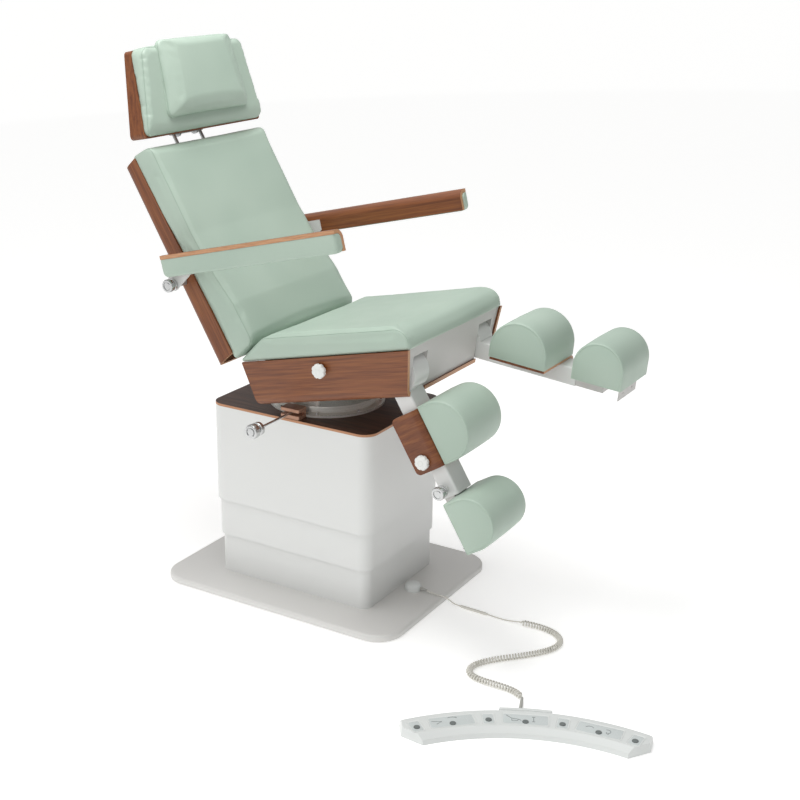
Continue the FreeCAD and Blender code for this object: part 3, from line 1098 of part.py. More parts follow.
def foot_control():
    """An arched housing with a sloping front, a wedge at each end and a well for each button."""
    tall = CONTROL_HEIGHT
    section = [(CONTROL_INNER, 0), (CONTROL_OUTER, 0), (CONTROL_OUTER, tall * 0.45),
               (CONTROL_OUTER - tall * 0.45, tall), (CONTROL_INNER + tall * 0.9, tall),
               (CONTROL_INNER + tall * 0.1, tall * 0.4)]
    first = CONTROL_MIDDLE_ANGLE - CONTROL_HALF_ANGLE
    points = [polar(radius, first, z) for radius, z in section]
    body = polygon_face(points).revolve(CONTROL_CENTRE, Vector(0, 0, 1), 2 * CONTROL_HALF_ANGLE)
    for sign in (-1, 1):
        end = CONTROL_MIDDLE_ANGLE + sign * CONTROL_HALF_ANGLE
        inner = end - sign * 2.6
        wedge = [polar(CONTROL_OUTER + OVERRUN, inner, 0), polar(CONTROL_OUTER + OVERRUN, end + sign * 2, 0),
                 polar(CONTROL_OUTER - tall, end + sign * 0.1, 0)]
        body = body.cut(prism_z([(point.x, point.y) for point in wedge], -OVERRUN, tall + OVERRUN))
    strip = [polar(CONTROL_OUTER - tall, CONTROL_MIDDLE_ANGLE + sign * 5.8, 0) for sign in (-1, 1)]
    strip += [polar(CONTROL_OUTER + tall * 0.15, CONTROL_MIDDLE_ANGLE + sign * 5.2, 0) for sign in (1, -1)]
    body = body.fuse(prism_z([(point.x, point.y) for point in strip], 0, tall - PANEL_DEPTH))
    for index in range(BUTTON_COUNT):
        centre = button_place(index)
        wide = index % 2 == 1
        half = PANEL_HALF_WIDE if wide else PANEL_HALF
        panel = rounded_block(-PANEL_REACH, PANEL_REACH, -half, half, tall - PANEL_DEPTH, tall + OVERRUN,
                              PANEL_ROUND)
        panel.Placement = Placement(centre, Rotation(Vector(0, 0, 1), button_angle(index)))
        well = Part.makeCylinder(BUTTON_RADIUS + SEAT_GAP, BUTTON_WELL + OVERRUN,
                                 centre + Vector(0, 0, tall - PANEL_DEPTH - BUTTON_WELL))
        body = body.cut(panel).cut(well)
    gland_at = Vector(*COIL_ROUTE[-1])
    inside = polar(CONTROL_OUTER - OVERRUN, CONTROL_MIDDLE_ANGLE + 1.2, gland_at.z)
    gland = rod(inside, gland_at, 2 * COIL_WIRE_RADIUS)
    return body.fuse(gland).removeSplitter()


def button(index):
    low = CONTROL_HEIGHT - PANEL_DEPTH - BUTTON_WELL + BUTTON_LIFT
    high = CONTROL_HEIGHT - PANEL_DEPTH + BUTTON_PROUD
    cap = Part.makeCylinder(BUTTON_RADIUS, high - low, button_place(index) + Vector(0, 0, low))
    rim = [edge for edge in cap.Edges if edge.BoundBox.ZMin > (low + high) / 2 and edge.Closed]
    return cap.makeChamfer(BUTTON_PROUD * 0.4, rim)


# Cord

def routed_path(points):
    """Straight runs joined by tangent arcs, as wide as their runs allow."""
    spots = [Vector(*point) for point in points]
    edges = []
    radii = []
    at = spots[0]
    for before, here, after in zip(spots, spots[1:], spots[2:]):
        into = here - before
        out = after - here
        reach = 0.45 * min(into.Length, out.Length)
        into.normalize()
        out.normalize()
        turn = into.getAngle(out)
        if turn < 1e-4:
            continue
        radius = reach / math.tan(turn / 2)
        first = here - into * reach
        last = here + out * reach
        toward = (out - into).normalize()
        middle = here + toward * (radius / math.cos(turn / 2) - radius)
        edges.append(Part.makeLine(at, first))
        edges.append(Part.Arc(first, middle, last).toShape())
        radii.append(radius)
        at = last
    edges.append(Part.makeLine(at, spots[-1]))
    return Part.Wire(edges), radii


def cord_tube(name, points, radius):
    path, radii = routed_path(points)
    ring = Part.Wire(Part.makeCircle(radius, Vector(*points[0]), Vector(*points[1]) - Vector(*points[0])))
    tube = path.makePipeShell([ring], True, False)
    ideal = math.pi * radius ** 2 * path.Length
    print(name, "length", round(path.Length, 1), "volume share", round(tube.Volume / ideal, 4),
          "radii", [round(value, 1) for value in radii])
    return tube


def biarc(start, start_tangent, end, end_tangent):
    """Two tangent arcs between two points with given directions."""
    chord = end - start
    both = start_tangent + end_tangent
    spread = 2 * (1 - start_tangent.dot(end_tangent))
    lean = chord.dot(both)
    reach = (-lean + math.sqrt(lean ** 2 + spread * chord.dot(chord))) / spread
    meet = (start + end + (start_tangent - end_tangent) * reach) * 0.5

    def arc(first, corner, last):
        half = (last - first).Length / 2
        weight = half / (corner - first).Length
        middle = (first + last + corner * (2 * weight)) * (1 / (2 + 2 * weight))
        return Part.Arc(first, middle, last).toShape()

    return [arc(start, start + start_tangent * reach, meet), arc(meet, end - end_tangent * reach, end)]


def curly_cord():
    """One unbroken wire wound round the cord's route, with straight ends."""
    path, radii = routed_path(COIL_ROUTE)
    lead = 2 * COIL_WIRE_RADIUS
    usable = path.Length - 2 * lead
    edges = path.OrderedEdges
    lengths = [edge.Length for edge in edges]

    def on_path(distance):
        for edge, length in zip(edges, lengths):
            if distance <= length:
                break
            distance -= length
        distance = min(distance, length)
        share = distance / length
        first, last = edge.FirstParameter, edge.LastParameter
        if edge.Orientation == "Reversed":
            share = 1 - share
        value = first + (last - first) * share
        tangent = edge.tangentAt(value)
        if edge.Orientation == "Reversed":
            tangent = tangent * -1
        return edge.valueAt(value), tangent.normalize()

    up = Vector(0, 0, 1)
    steps = 2 * CURL_COUNT
    spots = []
    for step in range(steps + 1):
        centre, tangent = on_path(lead + usable * step / steps)
        across = tangent.cross(up).normalize()
        angle = math.pi * step - math.pi / 2
        wrap = min(1.0, step / 2.0, (steps - step) / 2.0)
        radius = COIL_RADIUS * wrap
        out = across * math.cos(angle) + up * math.sin(angle)
        round_way = up * math.cos(angle) - across * math.sin(angle)
        rate = tangent * (usable / steps) + round_way * (math.pi * radius)
        spots.append((centre + out * radius, rate.normalize()))
    wire = []
    start, tangent = on_path(0)
    wire += biarc_or_line(start, tangent, *spots[0])
    for (first, first_way), (last, last_way) in zip(spots, spots[1:]):
        wire += biarc(first, first_way, last, last_way)
    end, tangent = on_path(path.Length)
    wire += biarc_or_line(spots[-1][0], spots[-1][1], end, tangent)
    spine = Part.Wire(wire)
    print("curly cord length", round(path.Length, 1), "wire length", round(spine.Length, 1),
          "route radii", [round(value) for value in radii])
    report_gap(spine)
    centre, way = on_path(0)
    side = way.cross(up).normalize()
    corners = []
    for index in range(WIRE_SIDES):
        angle = 2 * math.pi * (index + 0.5) / WIRE_SIDES
        corners.append(centre + (side * math.cos(angle) + up * math.sin(angle)) * COIL_WIRE_RADIUS)
    profile = Part.makePolygon(corners + [corners[0]])
    return spine.makePipeShell([profile], True, False)


def biarc_or_line(start, start_way, end, end_way):
    if start_way.getAngle(end_way) < 1e-4:
        return [Part.makeLine(start, end)]
    return biarc(start, start_way, end, end_way)


def report_gap(spine):
    """The least gap from the wire to itself, past its own neighbouring half turn."""
    a_turn = 24
    count = CURL_COUNT * a_turn
    points = spine.discretize(Number=count)
    near = a_turn // 2 + 2
    least = min((points[i] - points[j]).Length for i in range(count)
                for j in range(i + near, min(count, i + 3 * near)))
    print("curly cord least gap", round(least - 2 * COIL_WIRE_RADIUS, 2))


def sleeve():
    return rod(Vector(*SLEEVE_START), Vector(*SLEEVE_END), SLEEVE_RADIUS)


def main():
    os.makedirs("parts", exist_ok=True)
    write("base_plate", base_plate())
    write("plate_feet", *plate_feet())
    write("lower_shroud", shroud(2, PLATE_TOP, LOWER_SHROUD_TOP))
    write("middle_shroud", shroud(1, MIDDLE_SHROUD_BOTTOM, MIDDLE_SHROUD_TOP))
    write("upper_shroud", shroud(0, UPPER_SHROUD_BOTTOM, UPPER_SHROUD_TOP))
    write("lift_outer_tube", guided_tube(0, PLATE_TOP, OUTER_TUBE_TOP))
    write("lift_middle_tube", middle_tube())
    write("lift_inner_tube", inner_tube())
    write("cable_boss", cable_boss())
    write("top_board", top_board())
    write("bearing_ring", bearing_ring())
    write("brake_block", brake_block())
    write("brake_lever", *brake_lever())
    write("turntable", turntable())
    write("seat_tray", seat_tray())
    write("front_plate", front_plate())
    write("seat_frame", seat_frame())
    write("seat_cushion", seat_cushion())
    write("back_shell", back_shell())
    write("back_cushion", back_cushion())
    write("back_frame", back_frame())
    write("headrest_rods", headrest_rods())
    write("head_shell", head_shell())
    write("head_cushion", head_cushion())
    write("head_pillow", head_pillow())
    for side, name in ((-1, "right"), (1, "left")):
        write("seat_knob_" + name, seat_knob(side))
        write("arm_board_" + name, arm_board(side))
        write("arm_pad_" + name, arm_pad(side))
        write("arm_bracket_" + name, arm_bracket(side))
        write("arm_knob_" + name, arm_knob(side))
        write("leg_tube_" + name, leg_tube(side))
        write("calf_shell_" + name, calf_shell(side))
        write("calf_pad_" + name, calf_pad(side))
        write("calf_knob_" + name, calf_knob(side))
        write("foot_slide_" + name, foot_slide(side))
        write("foot_pad_" + name, foot_pad(side))
        write("index_plunger_" + name, index_plunger(side))
    write("foot_control", foot_control())
    for index in range(BUTTON_COUNT):
        write("foot_button_%d" % (index + 1), button(index))
    write("control_cable", cord_tube("cable", CABLE_ROUTE, CABLE_RADIUS).cut(sleeve()),
          cord_tube("link", LINK_ROUTE, CABLE_RADIUS).cut(sleeve()))
    write("cable_sleeve", sleeve())
    write("curly_cord", curly_cord())


main()
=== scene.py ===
"""A podiatry chair in mint upholstery and walnut plywood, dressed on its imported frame.

The classes hold their sizes in millimetres and hand Blender metres. +Z is up, the sitter looks along -Y, and
the sitter's right hand is on the -X side.
"""

from __future__ import annotations

import json
import logging
import math
from dataclasses import dataclass
from enum import Enum
from typing import Any, Callable, Iterable, Sequence

import bmesh
import bpy
from bmesh.types import BMEdge, BMesh, BMFace, BMVert
from bpy.types import ID, Material, Mesh, Node, NodeSocket, NodeTree, Object
from mathutils import Matrix, Vector, noise
from mathutils.kdtree import KDTree

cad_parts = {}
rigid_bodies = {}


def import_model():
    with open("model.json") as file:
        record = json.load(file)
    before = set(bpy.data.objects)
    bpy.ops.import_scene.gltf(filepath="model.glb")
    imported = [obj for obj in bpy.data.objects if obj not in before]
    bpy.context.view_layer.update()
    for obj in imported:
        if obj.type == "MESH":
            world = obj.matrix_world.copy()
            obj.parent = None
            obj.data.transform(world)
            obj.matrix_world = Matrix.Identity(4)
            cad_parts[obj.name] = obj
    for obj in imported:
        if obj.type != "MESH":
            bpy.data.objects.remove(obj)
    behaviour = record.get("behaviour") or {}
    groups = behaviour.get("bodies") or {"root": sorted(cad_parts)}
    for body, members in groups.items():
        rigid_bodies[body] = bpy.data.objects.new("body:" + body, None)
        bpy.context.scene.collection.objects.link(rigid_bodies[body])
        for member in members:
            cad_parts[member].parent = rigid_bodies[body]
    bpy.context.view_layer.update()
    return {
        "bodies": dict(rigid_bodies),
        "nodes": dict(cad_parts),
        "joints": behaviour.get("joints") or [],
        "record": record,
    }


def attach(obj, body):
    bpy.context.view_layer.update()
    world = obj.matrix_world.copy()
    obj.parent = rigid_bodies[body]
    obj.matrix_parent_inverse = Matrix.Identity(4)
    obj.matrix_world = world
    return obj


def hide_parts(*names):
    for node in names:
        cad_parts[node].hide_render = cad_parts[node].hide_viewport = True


LOG = logging.getLogger("podiatry_chair")

MM = 0.001
Point = Sequence[float]
Line = Sequence[Vector]


class Side(Enum):
    """The sitter's right and left, with the sign of X on that side."""

    RIGHT = -1
    LEFT = 1

    @property
    def word(self) -> str:
        """The side's name as the nodes spell it."""
        return self.name.lower()


def mm(*values: float) -> Vector:
    """A point given in millimetres.

    Args:
        values: Two or three coordinates.

    Returns:
        The point in metres.
    """
    return Vector([value * MM for value in values])


def tilted(pitch: float, x: float, y: float, z: float) -> Matrix:
    """The place of a sub-assembly that is tipped about the X axis.

    Args:
        pitch: Tip in degrees.
        x: Origin in millimetres.
        y: Origin in millimetres.
        z: Origin in millimetres.

    Returns:
        The matrix from the sub-assembly's frame to the chair's.
    """
    return Matrix.Translation(mm(x, y, z)) @ Matrix.Rotation(math.radians(pitch), 4, "X")


def facing(direction: Point, place: Point) -> Matrix:
    """Turns a piece made along +Z to point along a direction, at a place in metres."""
    turn = Vector((0, 0, 1)).rotation_difference(Vector(direction))
    return Matrix.Translation(Vector(place)) @ turn.to_matrix().to_4x4()


# Where the sub-assemblies stand at rest: tip about X in degrees, and origins in millimetres

SEAT_PITCH = -13.0
BACK_PITCH = 59.4
HEAD_PITCH = 78.9
ARM_PITCH = -14.0
LEG_PITCH = {Side.RIGHT: 58.5, Side.LEFT: 5.4}
LEG_HINGE = (206.0, -409.5, 851.6)      # X is outward

SEAT = tilted(SEAT_PITCH, 0, -477.0, 947.0)
BACK = tilted(BACK_PITCH, 0, 214.0, 780.0)
HEAD = tilted(HEAD_PITCH, 0, 528.5, 1456.0)
ARM = tilted(ARM_PITCH, 0, 338.0, 1039.0)


def leg_place(side: Side) -> Matrix:
    """The frame of one leg rest, whose origin is its hinge."""
    x, y, z = LEG_HINGE
    return tilted(LEG_PITCH[side], side.value * x, y, z)


# Materials


def linear(code: str) -> tuple[float, float, float, float]:
    """Turns an sRGB hex colour into linear red, green, blue and alpha.

    Args:
        code: A colour such as "#A9BDAE".

    Returns:
        The linear colour.
    """
    channels = [int(code[i:i + 2], 16) / 255 for i in (1, 3, 5)]
    return tuple(c / 12.92 if c <= 0.04045 else ((c + 0.055) / 1.055) ** 2.4 for c in channels) + (1.0,)


def add_node(tree: NodeTree, kind: str, settings: dict[str | int, Any] | None = None,
             links: dict[str | int, NodeSocket] | None = None) -> Node:
    """Adds a node with its settings and links.

    Args:
        tree: The node tree that it joins.
        kind: The node's type name.
        settings: Values by property name, or by the name or number of an input. "stops" holds a colour ramp's
            pairs of a position and an sRGB hex colour.
        links: Output sockets by the name or number of the input that they feed.

    Returns:
        The new node.
    """
    node = tree.nodes.new(kind)
    for name, value in (settings or {}).items():
        if name == "stops":
            elements = node.color_ramp.elements
            while len(elements) < len(value):
                elements.new(0.5)
            for element, (position, code) in zip(elements, value):
                element.position = position
                element.color = linear(code)
        elif isinstance(name, str) and hasattr(node, name):
            setattr(node, name, value)
        else:
            node.inputs[name].default_value = value
    for name, socket in (links or {}).items():
        tree.links.new(socket, node.inputs[name])
    return node


@dataclass(frozen=True)
class Finish:
    """What every finish shares: its name, its shader's plain values and an empty tree to build in."""

    name: str
    colour: str
    roughness: float = 0.4
    metallic: float = 0.0
    coat: float = 0.0

    def start(self) -> tuple[Material, NodeTree, Node]:
        """Makes the material with its shader.

        Returns:
            The material, its tree and its Principled shader.
        """
        material = bpy.data.materials.new(self.name)
        material.use_nodes = True
        tree = material.node_tree
        tree.nodes.clear()
        shader = add_node(tree, "ShaderNodeBsdfPrincipled", {
            "Base Color": linear(self.colour), "Roughness": self.roughness, "Metallic": self.metallic,
            "Coat Weight": self.coat, "Coat Roughness": 0.12})
        add_node(tree, "ShaderNodeOutputMaterial", links={"Surface": shader.outputs[0]})
        return material, tree, shader

    @staticmethod
    def turned_place(tree: NodeTree, turn: float) -> NodeSocket:
        """The object's own coordinates in a frame that is tipped about X by a turn in degrees.

        Args:
            tree: The material's tree.
            turn: Tip of the frame in degrees.

        Returns:
            The turned coordinates.
        """
        place = add_node(tree, "ShaderNodeTexCoord").outputs["Object"]
        return add_node(tree, "ShaderNodeMapping", {"Rotation": (math.radians(-turn), 0, 0)},
                        {0: place}).outputs[0]

    def mottle(self, tree: NodeTree, size_mm: float, stretch: Point = (1, 1, 1), turn: float = 0.0,
               detail: float = 2.0, distortion: float = 0.0) -> NodeSocket:
        """Noise of a real size on the object's own coordinates.

        Args:
            tree: The material's tree.
            size_mm: Size of one patch.
            stretch: How much longer a patch is along each axis.
            turn: Tip of the pattern about X, in degrees.
            detail: Octaves of finer noise.
            distortion: How much the patches are pushed about.

        Returns:
            The noise's value socket.
        """
        scaled = add_node(tree, "ShaderNodeMapping", {"Scale": tuple(1 / value for value in stretch)},
                          {0: self.turned_place(tree, turn)})
        return add_node(tree, "ShaderNodeTexNoise", {
            "Scale": 1 / (size_mm * MM), "Detail": detail, "Distortion": distortion},
            {"Vector": scaled.outputs[0]}).outputs[0]

    def vary_gloss(self, tree: NodeTree, shader: Node, value: NodeSocket, low: float, high: float) -> None:
        """Lets the roughness drift with a noise.

        Args:
            tree: The material's tree.
            shader: Its shader.
            value: The noise, most of which lies between 0.3 and 0.7.
            low: What the roughness gains where the noise is low.
            high: What it gains where the noise is high.
        """
        drift = add_node(tree, "ShaderNodeMapRange", {
            "From Min": 0.3, "From Max": 0.7,
            "To Min": self.roughness + low, "To Max": self.roughness + high}, {0: value})
        tree.links.new(drift.outputs[0], shader.inputs["Roughness"])

    @staticmethod
    def bump(tree: NodeTree, shader: Node, heights: Sequence[tuple[float, NodeSocket]]) -> None:
        """Adds bumps to a shader, each a depth in millimetres and a height socket.

        Args:
            tree: The material's tree.
            shader: Its shader.
            heights: Pairs of a depth in millimetres and the socket of its height.
        """
        below = {}
        for depth, height in heights:
            layer = add_node(tree, "ShaderNodeBump", {"Strength": 1.0, "Distance": depth * MM},
                             {"Height": height, **below})
            below = {"Normal": layer.outputs[0]}
        tree.links.new(below["Normal"], shader.inputs["Normal"])

    def build(self) -> Material:
        """Builds the finish as it is, without a pattern."""
        return self.start()[0]


@dataclass(frozen=True)
class CoatedFabric(Finish):
    """Polyurethane-coated upholstery fabric: an embossed grain under a satin skin, uneven over the foam."""

    shade: str = "#A6B8AA"
    grain_mm: float = 2.0       # embossed at about 1 mm, drawn coarser so that it shows
    drift_mm: float = 240.0
    handling_mm: float = 60.0
    wave_mm: float = 90.0

    def build(self) -> Material:
        """Builds the fabric: colour drift, pebble grain and slow waves of the foam.

        Returns:
            The material.
        """
        material, tree, shader = self.start()
        drift = self.mottle(tree, self.drift_mm, detail=1.0)
        pebble = add_node(tree, "ShaderNodeTexVoronoi", {"Scale": 1 / (self.grain_mm * MM)},
                          {"Vector": add_node(tree, "ShaderNodeTexCoord").outputs["Object"]}).outputs[0]
        colour = add_node(tree, "ShaderNodeValToRGB", {"stops": [(0.3, self.shade), (0.7, self.colour)]},
                          {0: drift})
        tree.links.new(colour.outputs[0], shader.inputs["Base Color"])
        self.vary_gloss(tree, shader, self.mottle(tree, self.handling_mm), -0.03, 0.04)
        self.bump(tree, shader, [(0.045, pebble), (0.3, self.mottle(tree, self.wave_mm, detail=1.0))])
        return material


@dataclass(frozen=True)
class WalnutPly(Finish):
    """Bent plywood with a walnut face: straight dark figure, open pores, and pale layers where it is cut."""

    colour: str = "#7C4623"
    roughness: float = 0.38
    pitch: float = 0.0          # tip of the board's frame about X, in degrees
    grain: Point = (1, 30, 1)   # how much longer the figure is along each axis
    cut: Point = (0, 1, 0)      # the directions in which cut edges face, either way
    cut_out: Point = (0, 0, 0)  # one more direction of cut edges, that way only
    dark: str = "#66371C"
    light: str = "#8B552C"
    edge: str = "#C4946E"
    glue: str = "#B07E5A"
    figure_mm: float = 7.5
    pore_mm: float = 1.6        # pores are finer, drawn coarser so that they show
    pore_stretch: float = 2.2   # how much longer they are than the figure
    layer_mm: float = 2.2
    bracket_under: float | None = None  # height in the turned frame under which the piece is bare steel

    def facing_cut(self, tree: NodeTree) -> NodeSocket:
        """Finds the cut edges by the way that they face.

        Args:
            tree: The material's tree.

        Returns:
            One on a cut edge, zero on the veneer.
        """
        normal = add_node(tree, "ShaderNodeVectorRotate", {
            "rotation_type": "X_AXIS", "Angle": math.radians(-self.pitch)},
            {"Vector": add_node(tree, "ShaderNodeTexCoord").outputs["Normal"]}).outputs[0]
        either_way = add_node(tree, "ShaderNodeVectorMath", {"operation": "ABSOLUTE"}, {0: normal}).outputs[0]
        shares = [add_node(tree, "ShaderNodeVectorMath", {"operation": "DOT_PRODUCT", 1: direction},
                           {0: vector}).outputs["Value"]
                  for vector, direction in ((either_way, self.cut), (normal, self.cut_out))]
        most = add_node(tree, "ShaderNodeMath", {"operation": "MAXIMUM"}, dict(enumerate(shares)))
        return add_node(tree, "ShaderNodeMapRange", {"From Min": 0.8, "From Max": 0.9},
                        {0: most.outputs[0]}).outputs[0]

    def bare_bracket(self, tree: NodeTree, shader: Node, wood: NodeSocket) -> NodeSocket:
        """Shows steel instead of wood behind the board, where its bracket is.

        Args:
            tree: The material's tree.
            shader: Its shader.
            wood: The colour of the wood.

        Returns:
            The colour of wood and steel.
        """
        height = add_node(tree, "ShaderNodeSeparateXYZ", links={0: self.turned_place(tree, self.pitch)})
        is_steel = add_node(tree, "ShaderNodeMath", {"operation": "LESS_THAN", 1: self.bracket_under},
                            {0: height.outputs[2]}).outputs[0]
        tree.links.new(is_steel, shader.inputs["Metallic"])
        return add_node(tree, "ShaderNodeMix", {"data_type": "RGBA", 7: linear("#B9BBBC")},
                        {0: is_steel, 6: wood}).outputs[2]

    def build(self) -> Material:
        """Builds the veneer and the layered edge.

        Returns:
            The material.
        """
        material, tree, shader = self.start()
        figure = self.mottle(tree, self.figure_mm, self.grain, self.pitch, 3.0, 0.3)
        longer = [value * self.pore_stretch if value > 1 else 1 for value in self.grain]
        pores = self.mottle(tree, self.pore_mm, longer, self.pitch)
        layers = self.mottle(tree, self.layer_mm, (1, 20, 1), self.pitch)
        veneer, open_pores, ply = [
            add_node(tree, "ShaderNodeValToRGB", {"stops": stops}, {0: value}).outputs[0]
            for value, stops in ((figure, [(0.3, self.dark), (0.5, self.colour), (0.72, self.light)]),
                                 (pores, [(0.32, "#A58D80"), (0.5, "#FFFFFF")]),
                                 (layers, [(0.35, self.glue), (0.6, self.edge)]))]
        pored = add_node(tree, "ShaderNodeMix", {"data_type": "RGBA", "blend_type": "MULTIPLY",
                                                 "Factor": 0.5}, {6: veneer, 7: open_pores}).outputs[2]
        colour = add_node(tree, "ShaderNodeMix", {"data_type": "RGBA"},
                          {0: self.facing_cut(tree), 6: pored, 7: ply}).outputs[2]
        if self.bracket_under is not None:
            colour = self.bare_bracket(tree, shader, colour)
        tree.links.new(colour, shader.inputs["Base Color"])
        self.vary_gloss(tree, shader, pores, 0.1, -0.02)
        self.bump(tree, shader, [(0.05, pores)])
        return material


@dataclass(frozen=True)
class Lacquer(Finish):
    """Sprayed lacquer: even colour, soft gloss and a faint orange peel."""

    peel_mm: float = 3.0
    handling_mm: float = 90.0

    def build(self) -> Material:
        """Builds the lacquer with its peel and a trace of handling on the gloss.

        Returns:
            The material.
        """
        material, tree, shader = self.start()
        self.vary_gloss(tree, shader, self.mottle(tree, self.handling_mm), -0.03, 0.05)
        self.bump(tree, shader, [(0.012, self.mottle(tree, self.peel_mm))])
        return material


@dataclass(frozen=True)
class TurnedSteel(Finish):
    """Steel turned on a lathe about the swivel axis: fine rings that spread the light."""

    ring_mm: float = 1.2        # tool marks are finer, drawn coarser so that they show
    hollow: str = "#C9C8C2"

    def build(self) -> Material:
        """Builds the rings from the distance to the axis and the height.

        Returns:
            The material.
        """
        material, tree, shader = self.start()
        place = add_node(tree, "ShaderNodeTexCoord").outputs["Object"]
        x, y, z = add_node(tree, "ShaderNodeSeparateXYZ", links={0: place}).outputs
        flat = add_node(tree, "ShaderNodeCombineXYZ", links={0: x, 1: y}).outputs[0]
        radius = add_node(tree, "ShaderNodeVectorMath", {"operation": "LENGTH"}, {0: flat}).outputs["Value"]
        total = add_node(tree, "ShaderNodeMath", {"operation": "ADD"}, {0: radius, 1: z}).outputs[0]
        rings = add_node(tree, "ShaderNodeTexNoise", {
            "noise_dimensions": "1D", "Scale": 1 / (self.ring_mm * MM)}, {"W": total}).outputs[0]
        colour = add_node(tree, "ShaderNodeValToRGB", {"stops": [(0.3, self.hollow), (0.7, self.colour)]},
                          {0: rings})
        tree.links.new(colour.outputs[0], shader.inputs["Base Color"])
        self.vary_gloss(tree, shader, rings, -0.05, 0.1)
        self.bump(tree, shader, [(0.02, rings)])
        return material


@dataclass(frozen=True)
class Moulded(Finish):
    """Moulded plastic: even colour with the mould's fine spark texture."""

    spark_mm: float = 1.1

    def build(self) -> Material:
        """Builds the plastic and its texture.

        Returns:
            The material.
        """
        material, tree, shader = self.start()
        spark = self.mottle(tree, self.spark_mm)
        self.vary_gloss(tree, shader, spark, -0.04, 0.06)
        self.bump(tree, shader, [(0.015, spark)])
        return material


class Palette:
    """All the finishes of the chair, built once."""

    def __init__(self) -> None:
        """Builds every material."""
        self.fabric = CoatedFabric("polyurethane coated fabric", "#AEBFB1", 0.42).build()
        self.thread = CoatedFabric("fabric seam", "#9DB0A1", 0.5, shade="#94A898").build()
        self.seat_ply = WalnutPly("walnut plywood seat", pitch=SEAT_PITCH).build()
        self.back_ply = WalnutPly("walnut plywood back", pitch=BACK_PITCH).build()
        shell_back = -(HEAD.inverted() @ Vector((0, 0, 0))).z
        self.head_ply = WalnutPly("walnut plywood headrest", pitch=HEAD_PITCH, cut=(0, 0, 0),
                                  bracket_under=shell_back - 0.3 * MM).build()
        self.arm_ply = {side: WalnutPly(f"walnut plywood armrest {side.word}", pitch=ARM_PITCH,
                                        cut_out=(side.value, 0, 0)).build() for side in Side}
        self.calf_ply = {side: WalnutPly(f"walnut plywood calf {side.word}", "#744020", pitch=LEG_PITCH[side],
                                         grain=(8, 1, 8), figure_mm=16.0).build() for side in Side}
        self.board = WalnutPly("dark walnut board", "#4F3628", 0.46, grain=(1, 24, 1), cut=(1, 1, 0),
                               dark="#3D291F", light="#5E4233", edge="#B98562", figure_mm=14.0).build()
        self.lacquer = Lacquer("white powder coat", "#DBDCDA", 0.34, coat=0.15).build()
        # The floor plate's lacquer is the column's white, made a little darker for the shade that the chair
        # casts on the plate: painted shade.
        self.plate = Lacquer("white floor plate lacquer", "#D6D5D2", 0.4, coat=0.1).build()
        self.front = Lacquer("light grey lacquer", "#C4C2BF", 0.42).build()
        # The turned steel is near white and only partly metallic, so that the swivel ring and the turntable
        # look bright in the seat's shade: a silver finish lightened with painted reflection.
        self.ring = TurnedSteel("turned steel", "#F2F0EA", 0.3, metallic=0.35).build()
        self.steel = Lacquer("zinc plated steel", "#C2C4C4", 0.34, metallic=0.7).build()
        self.chrome = Lacquer("satin chrome", "#C9CACA", 0.24, metallic=1.0, peel_mm=30.0).build()
        self.bronze = Lacquer("brown cast bronze", "#B08770", 0.4, metallic=0.4).build()
        self.knob = Moulded("white nylon", "#E3E5E2", 0.38).build()
        self.housing = Moulded("white polycarbonate", "#DBDEDC", 0.36, coat=0.2).build()
        self.tile = Moulded("clear printed overlay", "#CCD2D1", 0.25, coat=0.3).build()
        self.print = Moulded("grey print", "#8D9393", 0.5).build()
        self.button = Moulded("dark grey rubber button", "#6A706F", 0.45).build()
        self.cord = Moulded("warm grey polyurethane jacket", "#D6D4CC", 0.42).build()
        self.gland = Moulded("grey cord guard", "#A9A9A4", 0.5).build()
        self.feet = Moulded("black rubber", "#34363A", 0.7).build()


# Mesh making


def outline_prism(points: Sequence[Point], low: float, high: float, along: str = "Z") -> BMesh:
    """Runs a small outline along an axis.

    Args:
        points: Corners in metres: (x, y) along Z, or (y, z) along X.
        low: Start along the axis, in metres.
        high: End along the axis, in metres.
        along: "X" or "Z".

    Returns:
        The closed prism.
    """
    bm = bmesh.new()
    corners = [(low, a, b) if along == "X" else (a, b, low) for a, b in points]
    face = bm.faces.new([bm.verts.new(corner) for corner in corners])
    moved = bmesh.ops.extrude_face_region(bm, geom=[face])["geom"]
    shift = Vector((high - low, 0, 0)) if along == "X" else Vector((0, 0, high - low))
    bmesh.ops.translate(bm, vec=shift, verts=[item for item in moved if isinstance(item, BMVert)])
    bmesh.ops.recalc_face_normals(bm, faces=bm.faces)
    return bm


def box(low: Point, high: Point) -> BMesh:
    """A box between two corners in metres."""
    return outline_prism([(low[0], low[1]), (high[0], low[1]), (high[0], high[1]), (low[0], high[1])],
                         low[2], high[2])


def close_up(bm: BMesh) -> None:
    """Merges a spun mesh's doubles and turns its faces outward.

    Args:
        bm: The mesh, as the spin left it.
    """
    bmesh.ops.remove_doubles(bm, verts=bm.verts, dist=1e-6)
    bmesh.ops.recalc_face_normals(bm, faces=bm.faces)


def lathe(profile: Sequence[Point], steps: int = 48) -> BMesh:
    """Spins a profile of (radius, height) in millimetres about +Z.

    Args:
        profile: From the axis at the bottom to the axis at the top.
        steps: Faces round the axis.

    Returns:
        The turned mesh.
    """
    bm = bmesh.new()
    verts = [bm.verts.new(mm(radius, 0, height)) for radius, height in profile]
    edges = [bm.edges.new(pair) for pair in zip(verts, verts[1:])]
    bmesh.ops.spin(bm, geom=verts + edges, cent=(0, 0, 0), axis=(0, 0, 1), angle=2 * math.pi, steps=steps,
                   use_merge=True)
    close_up(bm)
    return bm


def round_edges(bm: BMesh, chosen: Callable[[BMEdge], bool], radius: float, segments: int = 6) -> None:
    """Rounds the edges that a test picks.

    Args:
        bm: The mesh.
        chosen: The test.
        radius: Radius in metres.
        segments: Faces across the round.
    """
    bmesh.ops.bevel(bm, geom=[edge for edge in bm.edges if chosen(edge)], offset=radius, segments=segments,
                    profile=0.5, affect="EDGES", material=-1, clamp_overlap=True)


